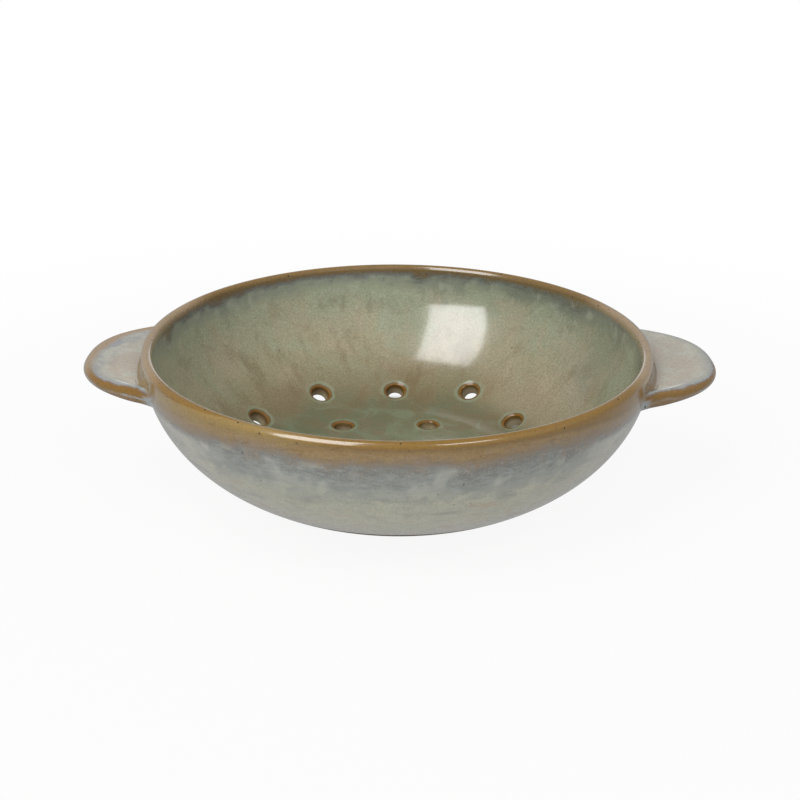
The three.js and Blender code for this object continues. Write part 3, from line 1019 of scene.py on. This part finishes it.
# %% Tree: pierced
BORE_RADIUS = 0.0051
BORE_TAPER = 0.26
MOUTH_ROUND = 0.0010
OUTER_ROUND_SHARE = 0.5
SPOOL_REACH = 0.0011
SPOOL_SIDES = 56
SPOOL_ROWS = 34
ROUND_SHARE = 0.93
FLARE_SLOPE = 0.4
HOLE_SPREAD = 0.04
HOLE_SEED = 11
USUAL_DEPTH = 0.0068

nodes, given, result = new_group(
    "pierced_bowl", "GeometryNodeTree",
    [
        ("Section", GEOMETRY, None), ("Columns", WHOLE, 360), ("Rows", WHOLE, 2), ("Wobble", FLOAT, 0.0003),
        ("Hole places", "NodeSocketObject", None), ("Bore radius", FLOAT, BORE_RADIUS),
        ("Mouth round", FLOAT, MOUTH_ROUND), ("Glaze", "NodeSocketMaterial", None),
    ],
    [("Bowl", GEOMETRY, None)],
)
spool = nodes.add("GeometryNodeMeshCylinder", {"Vertices": SPOOL_SIDES, "Side Segments": SPOOL_ROWS})
nodes.feed(spool.inputs["Radius"], 1.0)
nodes.feed(spool.inputs["Depth"], USUAL_DEPTH + 2 * SPOOL_REACH)
x, y, z = nodes.split(nodes.add("GeometryNodeInputPosition").outputs[0])
below_face = nodes.math("SUBTRACT", USUAL_DEPTH / 2, nodes.math("ABSOLUTE", z))
outer_end = nodes.math("LESS_THAN", z, 0.0)
mouth = nodes.math("MULTIPLY", given["Mouth round"], nodes.lerp(outer_end, 1.0, OUTER_ROUND_SHARE))
lean = nodes.math("SUBTRACT", 1.0, nodes.math("DIVIDE", below_face, mouth))
bent = nodes.math("MINIMUM", nodes.math("MAXIMUM", lean, 0.0), ROUND_SHARE)
rest = nodes.math("SQRT", nodes.math("SUBTRACT", 1.0, nodes.math("MULTIPLY", bent, bent)))
past_round = nodes.math("MAXIMUM", nodes.math("SUBTRACT", lean, ROUND_SHARE), 0.0)
flare = nodes.math("ADD", nodes.math("SUBTRACT", 1.0, rest), nodes.math("DIVIDE", past_round, FLARE_SLOPE))
to_outside = nodes.math("SUBTRACT", 0.5, nodes.math("DIVIDE", z, USUAL_DEPTH))
narrowed = nodes.math("SUBTRACT", 1.0, nodes.math("MULTIPLY", to_outside, BORE_TAPER))
width = nodes.math("MULTIPLY", given["Bore radius"], narrowed)
width = nodes.math("ADD", width, nodes.math("MULTIPLY", flare, mouth))
spool_x = nodes.math("MULTIPLY", x, width)
spool_y = nodes.math("MULTIPLY", y, width)
spool_place = nodes.join(spool_x, spool_y, nodes.math("SUBTRACT", z, USUAL_DEPTH / 2))
cutter = nodes.add("GeometryNodeSetPosition", {"Geometry": spool.outputs["Mesh"], "Position": spool_place})
print("cutter of", SPOOL_SIDES, "sides")


# %% Tree: pierced, a cutter on every hole
def live_socket(sockets, name):
    """The socket of this name that the node uses at its present settings."""
    return [socket for socket in sockets if socket.name == name and socket.enabled][0]


markers = nodes.add("GeometryNodeObjectInfo", {"Object": given["Hole places"]})
bore = nodes.add("GeometryNodeInputNamedAttribute", {"Name": "bore"}, data_type="FLOAT_VECTOR").outputs[0]
depth = nodes.add("GeometryNodeInputNamedAttribute", {"Name": "depth"}, data_type="FLOAT").outputs[0]
turned = nodes.add("FunctionNodeAlignRotationToVector", {"Vector": bore}, axis="Z")
luck = nodes.add("FunctionNodeRandomValue", {"Seed": HOLE_SEED}, data_type="FLOAT")
for name, value in (("Min", 1 - HOLE_SPREAD), ("Max", 1 + HOLE_SPREAD)):
    nodes.feed(live_socket(luck.inputs, name), value)
wider = live_socket(luck.outputs, "Value")
spread = nodes.join(wider, wider, nodes.math("DIVIDE", depth, USUAL_DEPTH))
cutters = nodes.add("GeometryNodeInstanceOnPoints", {"Points": markers.outputs["Geometry"]})
for name, value in (("Instance", cutter.outputs[0]), ("Rotation", turned.outputs[0]), ("Scale", spread)):
    nodes.feed(cutters.inputs[name], value)
real_cutters = nodes.add("GeometryNodeRealizeInstances", {"Geometry": cutters.outputs[0]})
pierced = nodes.add("GeometryNodeMeshBoolean", operation="DIFFERENCE", solver="MANIFOLD")
nodes.feed(pierced.inputs["Mesh 1"], thrown_from(nodes, given))
nodes.feed(pierced.inputs["Mesh 2"], real_cutters.outputs[0])
print("tree", nodes.tree.name, "with its cutters")


# %% Tree: pierced, what each point measures
def store(nodes, geometry, name, value):
    """Keeps a number for each point of a geometry under a name."""
    node = nodes.add("GeometryNodeStoreNamedAttribute", data_type="FLOAT", domain="POINT")
    for label, source in (("Geometry", geometry), ("Name", name), ("Value", value)):
        nodes.feed(node.inputs[label], source)
    return node.outputs[0]


def look_up(nodes, geometry, index, value, data_type="FLOAT"):
    """What a point of another geometry holds."""
    node = nodes.add("GeometryNodeSampleIndex", data_type=data_type)
    for label, source in (("Geometry", geometry), ("Index", index), ("Value", value)):
        nodes.feed(node.inputs[label], source)
    return node.outputs[0]


def nearest_point(nodes, geometry, place):
    """The index of the point of another geometry that is nearest to a place."""
    node = nodes.add("GeometryNodeSampleNearest", {"Geometry": geometry, "Sample Position": place})
    return node.outputs[0]


position = nodes.add("GeometryNodeInputPosition").outputs[0]
x, y, z = nodes.split(position)
in_section = nodes.join(nodes.vector("LENGTH", nodes.join(x, y, 0.0)), 0.0, z)
section_index = nearest_point(nodes, given["Section"], in_section)
measured = pierced.outputs["Mesh"]
for name in ("fall", "inner"):
    on_section = nodes.add("GeometryNodeInputNamedAttribute", {"Name": name}, data_type="FLOAT").outputs[0]
    measured = store(nodes, measured, name, look_up(nodes, given["Section"], section_index, on_section))

marks = markers.outputs["Geometry"]
hole_index = nearest_point(nodes, marks, position)
mark_position = nodes.add("GeometryNodeInputPosition").outputs[0]
hole_at = look_up(nodes, marks, hole_index, mark_position, "FLOAT_VECTOR")
bore_at = look_up(nodes, marks, hole_index, bore, "FLOAT_VECTOR")
away = nodes.vector("SUBTRACT", position, hole_at)
along_bore = nodes.scaled(bore_at, nodes.vector("DOT_PRODUCT", away, bore_at))
from_axis = nodes.vector("LENGTH", nodes.vector("SUBTRACT", away, along_bore))
measured = store(nodes, measured, "hole_gap", nodes.math("SUBTRACT", from_axis, given["Bore radius"]))
smooth = nodes.add("GeometryNodeSetShadeSmooth", {"Geometry": measured})
nodes.feed(result["Bowl"], real_and_painted(nodes, smooth.outputs[0], given["Glaze"]))
pierced_bowl = nodes.tree
print("tree", pierced_bowl.name, "with", len(pierced_bowl.nodes), "nodes")


# %% Run the trees on the bowl
def run_tree(piece, tree, values):
    """Gives a piece the tree's result as its own plain mesh; values go in by the sockets' identifiers."""
    modifier = piece.modifiers.new(tree.name, "NODES")
    modifier.node_group = tree
    for item in tree.interface.items_tree:
        if item.item_type == "SOCKET" and item.in_out == "INPUT" and item.name in values:
            modifier[item.identifier] = values[item.name]
    bpy.context.view_layer.update()
    depsgraph = bpy.context.evaluated_depsgraph_get()
    evaluated = piece.evaluated_get(depsgraph)
    mesh = bpy.data.meshes.new_from_object(evaluated, preserve_all_data_layers=True, depsgraph=depsgraph)
    piece.modifiers.clear()
    piece.data = mesh
    mesh.name = piece.name


BOWL_COLUMNS = 312
BOWL_WOBBLE = 0.0005
run_tree(bowl, pierced_bowl, {
    "Columns": BOWL_COLUMNS, "Rows": len(section), "Wobble": BOWL_WOBBLE,
    "Hole places": hole_places, "Glaze": wall_glaze,
})
bpy.data.objects.remove(hole_places)
triangles = sum(len(face.vertices) - 2 for face in bowl.data.polygons)
print(bowl.name, len(bowl.data.vertices), "points,", triangles, "triangles")

# %% [markdown]
# The foot ring is turned with the first tree alone, from a closed section with rounded arrises. A torus
# would be too round, and a tube too sharp. The last row falls on the first, so merging closes the ring.

# %% The foot ring
FOOT_WIDTH = 0.008
FOOT_ROUND = 0.0012
FOOT_SINK = 0.0004
ROUND_STEPS = 6


def foot_section():
    """A closed rectangle, rounded below and sunk a little into the underside of the floor above."""
    top = FOOT_HEIGHT + FOOT_SINK
    outer = FOOT_RADIUS - FOOT_ROUND
    inner = FOOT_RADIUS - FOOT_WIDTH + FOOT_ROUND
    corners = (
        (outer, FOOT_ROUND, FOOT_ROUND), (outer, top, 0.0),
        (inner, top, 0.0), (inner, FOOT_ROUND, FOOT_ROUND),
    )
    points = []
    for index, (radius, height, rounding) in enumerate(corners):
        for step in range(ROUND_STEPS + 1):
            turn = math.pi / 2 * (index - 1 + step / ROUND_STEPS)
            shift = Vector((FOOT_ROUND * math.cos(turn), rounding * math.sin(turn)))
            points.append(Vector((radius, height)) + shift)
    return points + points[:1]


foot_points = foot_section()
foot = section_object("turned_foot", foot_points, {})
nodes, given, result = new_group(
    "turned_foot", "GeometryNodeTree",
    [("Section", GEOMETRY, None), ("Columns", WHOLE, 180), ("Rows", WHOLE, 2), ("Wobble", FLOAT, 0.0),
     ("Clay", "NodeSocketMaterial", None)],
    [("Foot", GEOMETRY, None)],
)
nodes.feed(result["Foot"], real_and_painted(nodes, thrown_from(nodes, given), given["Clay"]))
FOOT_COLUMNS = 192
FOOT_WOBBLE = 0.0006
run_tree(foot, nodes.tree, {
    "Columns": FOOT_COLUMNS, "Rows": len(foot_points), "Wobble": FOOT_WOBBLE, "Clay": bare_clay,
})
print(foot.name, len(foot.data.polygons), "faces")

# %% [markdown]
# A lug is a flat half-moon of clay: level on top, thicker at the wall than at the tip, with a full round
# edge. It could be cut from a slab with a Boolean, but its outline swells from the wall, so it is built as a
# loft: at each angle round the bowl one closed section, as long as the outline is wide there, and faces
# between neighbouring sections. Where the outline runs out, the sections sink into the wall, so that the lug
# melts into it. The left lug is the right one turned half a round, and a little shorter, as its CAD node is.

# %% Sizes of the lugs
HANDLE_HALF_ANGLE = math.radians(23.5)
HANDLE_SHOULDER = 2.8
HANDLE_FLARE = 1.6
TIP_THICKNESS = 0.0056
ROOT_THICKNESS = 0.009
handle_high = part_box("right_handle")[1]
HANDLE_TOP = handle_high.z
TIP_RADIUS = {"right": handle_high.x, "left": -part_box("left_handle")[0].x}


def wall_radius(height, turn):
    """Radius of the outside of the wall at a height and a turn round the bowl, with its wobble."""
    radius = wall_outside(share_at(wall_outside, 1, height)).x
    wobble = WOBBLE_MIDDLE + OVAL * math.sin(2 * turn) + THREE_SIDED * math.cos(3 * turn)
    return radius - BOWL_WOBBLE * wobble * radius / RIM_RADIUS


SIDES = {"right": 0.0, "left": math.pi}
LUG_ROOT = {side: wall_radius(HANDLE_TOP, turn) for side, turn in SIDES.items()}


def lug_reach(angle, side):
    """How far the lug stands out of the wall at an angle from its middle."""
    share = min(abs(angle) / HANDLE_HALF_ANGLE, 1.0)
    return (TIP_RADIUS[side] - LUG_ROOT[side]) * (1 - share ** HANDLE_SHOULDER) ** HANDLE_FLARE


def underside_slope(side):
    """How steeply the lug's underside rises from the wall to the tip."""
    return (ROOT_THICKNESS - TIP_THICKNESS) / (TIP_RADIUS[side] - LUG_ROOT[side])


def underside(radius, side):
    """Height of the lug's underside at a radius."""
    return HANDLE_TOP - ROOT_THICKNESS + underside_slope(side) * (radius - LUG_ROOT[side])


print("lugs reach %.1f and %.1f mm" % tuple(lug_reach(0.0, side) * 1000 for side in SIDES))


# %% Lofting sections round the bowl
def loft(name, sections, angles, measures, material, turn):
    """A closed mesh through sections of (radius, height) points, one at each angle round the bowl."""
    size = len(sections[0])
    points = []
    for angle, ring in zip(angles, sections):
        heading = Vector((math.cos(angle + turn), math.sin(angle + turn), 0.0))
        points += [heading * p.x + Vector((0.0, 0.0, p.y)) for p in ring]
    faces = []
    for start in range(0, size * (len(sections) - 1), size):
        for i in range(size):
            after = (i + 1) % size
            faces.append((start + i, start + after, start + size + after, start + size + i))
    faces.append(tuple(range(size - 1, -1, -1)))
    faces.append(tuple(range(size * (len(sections) - 1), size * len(sections))))
    piece = new_piece(name, points, [], faces)
    for label, rows in measures.items():
        keep_measure(piece, label, [value for row in rows for value in row])
    piece.data.materials.append(material)
    piece.data.shade_smooth()
    print(name, len(faces), "faces")
    return piece


print("helper", loft.__name__)

# %% One section of a lug
EDGE_DEPTH = 0.0028
TOP_DISH = 0.0006
DISH_START = 0.28
DISH_EASE = 0.012
ROOT_SINK = 0.0014
MELT_REACH = 0.010
MELT_SINK = 0.0005
FLAT_STEPS = 16
NOSE_STEPS = 18


def lug_section(angle, side):
    """One closed section of the lug, from the wall along the top, round the edge and back underneath."""
    turn = angle + SIDES[side]
    reach = lug_reach(angle, side)
    depth = min(EDGE_DEPTH, reach / 2)
    root = wall_radius(HANDLE_TOP, turn)
    flat_end = root + reach - depth
    under_end = underside(flat_end, side)
    middle = (HANDLE_TOP + under_end) / 2
    half = (HANDLE_TOP - under_end) / 2
    ring = []
    for i in range(FLAT_STEPS):
        share = i / FLAT_STEPS
        radius = root - ROOT_SINK + (flat_end - root + ROOT_SINK) * share
        dished = max(share - DISH_START, 0.0) / (1 - DISH_START)
        dish = TOP_DISH * math.sin(math.pi * dished) ** 2 * min(reach / DISH_EASE, 1.0)
        ring.append(Vector((radius, HANDLE_TOP - dish)))
    for i in range(NOSE_STEPS + 1):
        lean = math.pi * (0.5 - i / NOSE_STEPS)
        ring.append(Vector((flat_end + depth * math.cos(lean), middle + half * math.sin(lean))))
    foot_radius = wall_radius(HANDLE_TOP - ROOT_THICKNESS, turn) - ROOT_SINK
    for i in range(1, FLAT_STEPS + 1):
        radius = flat_end + (foot_radius - flat_end) * i / FLAT_STEPS
        ring.append(Vector((radius, underside(radius, side))))
    loose = 1 - min(reach / MELT_REACH, 1.0)
    for point in ring:
        point.x -= loose * (root - wall_radius(point.y, turn)) + MELT_SINK * loose * loose
    return ring


print(len(lug_section(0.0, "right")), "points in a lug's section")

# %% What a lug measures
BANDS = {"right": (0.0, 0.0), "left": (0.0, 0.0044)}
BAND_START = -0.65
BAND_FULL = 0.15


def edge_distances(ring):
    """Distance along the section from where the top turns over into the edge, positive on top."""
    along = [0.0]
    for before, after in zip(ring, ring[1:]):
        along.append(along[-1] + (after - before).length)
    return [along[FLAT_STEPS] - length for length in along]


def root_distances(ring, turn):
    """Distance of each point of a section from the wall."""
    return [max(p.x - wall_radius(p.y, turn), 0.0) for p in ring]


def wall_falls(ring):
    """How far down the wall each point of a section is."""
    heights = [(section[i].y, falls[i]) for i in range(crest)]
    return [min(heights, key=lambda row: abs(row[0] - p.y))[1] for p in ring]


def band_width(angle, side):
    """Width of the taupe band on top, which is widest at the back."""
    front, back = BANDS[side]
    toward_back = math.sin(angle + SIDES[side]) / math.sin(HANDLE_HALF_ANGLE)
    share = min(max((toward_back - BAND_START) / (BAND_FULL - BAND_START), 0.0), 1.0)
    return front + (back - front) * share


print("bands in front and behind:", BANDS)

# %% The two lugs
LUG_SECTIONS = 140
angles = [HANDLE_HALF_ANGLE * (2 * i / LUG_SECTIONS - 1) for i in range(LUG_SECTIONS + 1)]
lugs = {}
for side, turn in SIDES.items():
    rings = [lug_section(angle, side) for angle in angles]
    size = len(rings[0])
    measures = {
        "edge": [edge_distances(ring) for ring in rings],
        "band": [[band_width(angle, side)] * size for angle in angles],
        "root": [root_distances(ring, angle + turn) for ring, angle in zip(rings, angles)],
        "fall": [wall_falls(ring) for ring in rings],
    }
    lugs[side] = loft(side + "_lug", rings, angles, measures, handle_glaze, turn)

# %% [markdown]
# The coil that the potter works into the corner above and below a lug ends up as a hollow fillet, tangent to
# the wall and to the lug. A Bevel modifier would need wall and lug in one mesh, so each coil is lofted from
# sections of its own. Its radius shrinks with the lug's reach, so it runs out to nothing at both ends.

# %% One section of a coil
COIL_ROUND = 0.0026
COIL_STEPS = 12
COIL_SINK = 0.0012
COIL_TAIL = 0.0012
TAIL_SINK = 0.0001
COIL_EASE = 0.012
COIL_LEAST = 0.00002


def coil_section(angle, side, upper):
    """A closed section: the hollow arc from the wall to the lug, with tails and a back inside the clay."""
    turn = angle + SIDES[side]
    reach = lug_reach(angle, side)
    if upper:
        corner_height = HANDLE_TOP
        lug_way = Vector((1.0, 0.0))
    else:
        corner_height = underside(wall_radius(HANDLE_TOP - ROOT_THICKNESS, turn), side)
        lug_way = Vector((1.0, underside_slope(side))).normalized()
    corner = Vector((wall_radius(corner_height, turn), corner_height))
    wall_way = wall_direction(share_at(wall_outside, 1, corner_height)) * (1 if upper else -1)
    opening = math.acos(lug_way.dot(wall_way))
    ease = min(reach / COIL_EASE, 1.0)
    size = COIL_ROUND * ease + COIL_LEAST
    leg = size / math.tan(opening / 2)
    middle_way = (lug_way + wall_way).normalized()
    corner -= middle_way * MELT_SINK * (1 - ease)
    centre = corner + middle_way * (size / math.sin(opening / 2))
    start = corner + wall_way * leg - centre
    end = corner + lug_way * leg - centre
    sweep = math.pi - opening
    across = (end - start * (end.dot(start) / start.dot(start))).normalized() * start.length
    arc = []
    for i in range(COIL_STEPS + 1):
        bend = sweep * i / COIL_STEPS
        arc.append(centre + start * math.cos(bend) + across * math.sin(bend))
    inward = start.normalized() * TAIL_SINK * ease
    downward = end.normalized() * TAIL_SINK * ease
    tail = COIL_TAIL * ease + COIL_LEAST
    ring = [corner + wall_way * (leg + tail) + inward, *arc, corner + lug_way * (leg + tail) + downward]
    ring.append(corner - middle_way * (COIL_SINK * ease + COIL_LEAST))
    return ring if upper else ring[::-1]


print(len(coil_section(0.0, "right", True)), "points in a coil's section")

# %% The four coils
FAR_ON_TOP = 0.012
FAR_BELOW = -0.016
coils = {}
for side, turn in SIDES.items():
    for label, upper in (("upper", True), ("lower", False)):
        rings = [coil_section(angle, side, upper) for angle in angles]
        size = len(rings[0])
        measures = {
            "edge": [[FAR_ON_TOP if upper else FAR_BELOW] * size for ring in rings],
            "root": [root_distances(ring, angle + turn) for ring, angle in zip(rings, angles)],
            "fall": [wall_falls(ring) for ring in rings],
        }
        coils[side, label] = loft("%s_%s_coil" % (side, label), rings, angles, measures, seam_glaze, turn)

# %% [markdown]
# Every piece rides on the frame's one body and stands for its CAD node, whose own mesh is hidden.

# %% Tie the pieces to the frame
ties = [(bowl, "bowl_body", "wall_glaze"), (foot, "foot_ring", "bare_clay")]
for side in SIDES:
    ties.append((lugs[side], side + "_handle", "handle_glaze"))
    for label in ("upper", "lower"):
        ties.append((coils[side, label], "%s_%s_seam" % (side, label), "seam_glaze"))
for piece, node, slot in ties:
    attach(piece, "root")
    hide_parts(node)
print(len(ties), "pieces tied")

# %% [markdown]
# The studio. The floor and the world look plain white to the camera, while what lights the object stays at a
# plain level, with a broad glow from the right, and near the bowl the floor keeps its shadow. In reflections
# the studio is dimmer, because the real glaze mirrors no white room, apart from a white card behind the bowl
# that draws the fine pale line along the lip. A patch of floor under the back of the bowl has a painted
# shadow: its glow is turned down there, as the shade there is, and it shows through the holes.

# %% The floor
FLOOR_SIZE = 6.0
FLOOR_GREY = (0.6, 0.6, 0.59, 1.0)
UNDER_GLOW = 0.1
UNDER_BOWL = (0.093, 0.086)
UNDER_CENTRE = (0.0, 0.02, 0.0)
UNDER_BACK = (0.02, 0.05)
FLOOR_GLOW = 0.92
FLOOR_GLOSS = 0.36
FAR_FLOOR = (0.2, 0.55)
WHITE = (1.0, 1.0, 1.0, 1.0)


def background_rays(nodes):
    """Rays that show the background to the camera, and rays that show it in a reflection."""
    path = nodes.add("ShaderNodeLightPath").outputs
    return path["Is Camera Ray"], nodes.math("MAXIMUM", path["Is Glossy Ray"], path["Is Transmission Ray"])


corners = [(x * FLOOR_SIZE, y * FLOOR_SIZE, 0.0) for x, y in ((-1, -1), (1, -1), (1, 1), (-1, 1))]
floor = new_piece("studio_floor", corners, [], [(0, 1, 2, 3)])
floor_paint = bpy.data.materials.new("studio_floor")
floor_paint.use_nodes = True
floor_paint.node_tree.nodes.clear()
nodes = Wiring(floor_paint.node_tree)
paint = nodes.add("ShaderNodeBsdfDiffuse", {"Color": FLOOR_GREY})
place = nodes.add("ShaderNodeTexCoord").outputs["Object"]
to_camera, to_gloss = background_rays(nodes)
glow = nodes.add("ShaderNodeEmission", {"Color": WHITE, "Strength": nodes.lerp(to_gloss, 1.0, FLOOR_GLOSS)})
level = nodes.lerp(nodes.rise(nodes.vector("LENGTH", place), *FAR_FLOOR), FLOOR_GLOW, 1.0)
# Painted shadow: under the back of the bowl the floor's glow is turned down.
under = nodes.vector("LENGTH", nodes.vector("SUBTRACT", place, UNDER_CENTRE))
under_back = nodes.rise(nodes.split(place)[1], *UNDER_BACK)
painted_shadow = nodes.math("MULTIPLY", nodes.rise(under, *UNDER_BOWL), under_back)
level = nodes.lerp(painted_shadow, level, UNDER_GLOW)
share = nodes.math("MULTIPLY", nodes.math("MAXIMUM", to_camera, to_gloss), level)
mixed = nodes.add("ShaderNodeMixShader", {0: share, 1: paint.outputs[0], 2: glow.outputs[0]})
nodes.feed(nodes.add("ShaderNodeOutputMaterial").inputs["Surface"], mixed.outputs[0])
floor.data.materials.append(floor_paint)
print("floor", FLOOR_SIZE * 2, "m wide")

# %% The world round the bowl
FILL_LEVEL = 0.38
GLOSS_LEVEL = 0.33
SIDE_GLOW = 0.54
SIDE_GLOSS = 0.5
SIDE_SPREAD = (0.35, 1.0)
SIDE_WAY = Vector((0.71, -0.5, 0.5)).normalized()
CARD_TOP = (0.52, 0.12)
CARD_BACK = (0.93, 0.99)
CARD_GLOSS = 0.9

world = bpy.data.worlds.new("studio")
world.use_nodes = True
world.node_tree.nodes.clear()
nodes = Wiring(world.node_tree)
background = nodes.add("ShaderNodeBackground", {"Color": WHITE})
way = nodes.add("ShaderNodeTexCoord").outputs["Generated"]
glow = nodes.rise(nodes.vector("DOT_PRODUCT", way, SIDE_WAY), *SIDE_SPREAD)
lit = nodes.math("ADD", FILL_LEVEL, nodes.math("MULTIPLY", glow, SIDE_GLOW))
reflected = nodes.math("MAXIMUM", GLOSS_LEVEL, nodes.math("MULTIPLY", glow, SIDE_GLOSS))
way_y, way_z = nodes.split(way)[1:]
card = nodes.math("MULTIPLY", nodes.rise(way_y, *CARD_BACK), nodes.rise(way_z, *CARD_TOP))
reflected = nodes.math("MAXIMUM", reflected, nodes.math("MULTIPLY", card, CARD_GLOSS))
to_camera, to_gloss = background_rays(nodes)
strength = nodes.lerp(to_camera, nodes.lerp(to_gloss, lit, reflected), 1.0)
nodes.feed(background.inputs["Strength"], strength)
nodes.feed(nodes.add("ShaderNodeOutputWorld").inputs["Surface"], background.outputs[0])
bpy.context.scene.world = world
print("world", world.name)

# %% [markdown]
# Two softboxes. The large one stands to the front left, and its reflection is the bright pane on the inside
# of the far wall. The small one at the front right only draws the short highlight on the lip. A sun or a
# point lamp would light the bowl as well, but a glossy pot shows the shape of its lamps.

# %% Lights
def softbox(name, centre, facing, upward, width, height, power):
    """A soft rectangular lamp, with the way it faces and the way its long side points."""
    lamp = bpy.data.lights.new(name, "AREA")
    lamp.shape = "RECTANGLE"
    lamp.size = width
    lamp.size_y = height
    lamp.energy = power
    back = -Vector(facing).normalized()
    across = Vector(upward).cross(back).normalized()
    turn = Matrix((across, back.cross(across), back)).transposed()
    lamp_object = bpy.data.objects.new(name, lamp)
    lamp_object.matrix_world = Matrix.Translation(centre) @ turn.to_4x4()
    bpy.context.scene.collection.objects.link(lamp_object)


KEY_CENTRE = (-0.719, -0.734, 1.528)
KEY_FACING = (0.546, 0.707, -0.449)
KEY_UPWARD = (0.098, 0.479, 0.873)
KEY_WIDTH = 0.84
KEY_HEIGHT = 2.206
KEY_POWER = 30.0
softbox("key_softbox", KEY_CENTRE, KEY_FACING, KEY_UPWARD, KEY_WIDTH, KEY_HEIGHT, KEY_POWER)
RIGHT_CENTRE = (0.729, -1.109, 1.407)
RIGHT_FACING = (-0.390, 0.549, -0.738)
RIGHT_UPWARD = (0.0, 0.0, 1.0)
RIGHT_WIDTH = 0.63
RIGHT_HEIGHT = 0.40
RIGHT_POWER = 4.5
softbox("right_softbox", RIGHT_CENTRE, RIGHT_FACING, RIGHT_UPWARD, RIGHT_WIDTH, RIGHT_HEIGHT, RIGHT_POWER)
print("softboxes %.2f by %.2f m and %.2f by %.2f m" % (KEY_WIDTH, KEY_HEIGHT, RIGHT_WIDTH, RIGHT_HEIGHT))

# %% [markdown]
# The camera stands where the photograph was taken from: in front of the bowl, a good half metre away and
# about 23 degrees above the table, rolled by less than half a degree. It could be set by eye, but the rim,
# the wall and the holes in the picture fix it closely.

# %% Camera
CAMERA_DISTANCE = 0.6
CAMERA_ELEVATION = math.radians(23.28)
CAMERA_ROLL = math.radians(0.41)
CAMERA_AIM = Vector((0.00154, 0.0, 0.0453))
FOCAL_PIXELS = 1183
PICTURE_PIXELS = 800
SENSOR = 36.0
CLIP_START = 0.01

camera_data = bpy.data.cameras.new("photo_camera")
camera_data.sensor_width = SENSOR
camera_data.lens = SENSOR * FOCAL_PIXELS / PICTURE_PIXELS
camera_data.clip_start = CLIP_START
camera = bpy.data.objects.new("photo_camera", camera_data)
bpy.context.scene.collection.objects.link(camera)
toward_camera = Vector((0.0, -math.cos(CAMERA_ELEVATION), math.sin(CAMERA_ELEVATION)))
camera.location = CAMERA_AIM + toward_camera * CAMERA_DISTANCE
facing = (-toward_camera).to_track_quat("-Z", "Y").to_matrix()
camera.rotation_euler = (facing @ Matrix.Rotation(CAMERA_ROLL, 3, "Z")).to_euler()
bpy.context.scene.camera = camera
bpy.context.scene.view_settings.view_transform = "Standard"
print("camera %.0f mm lens at" % camera_data.lens, [round(part, 3) for part in camera.location])
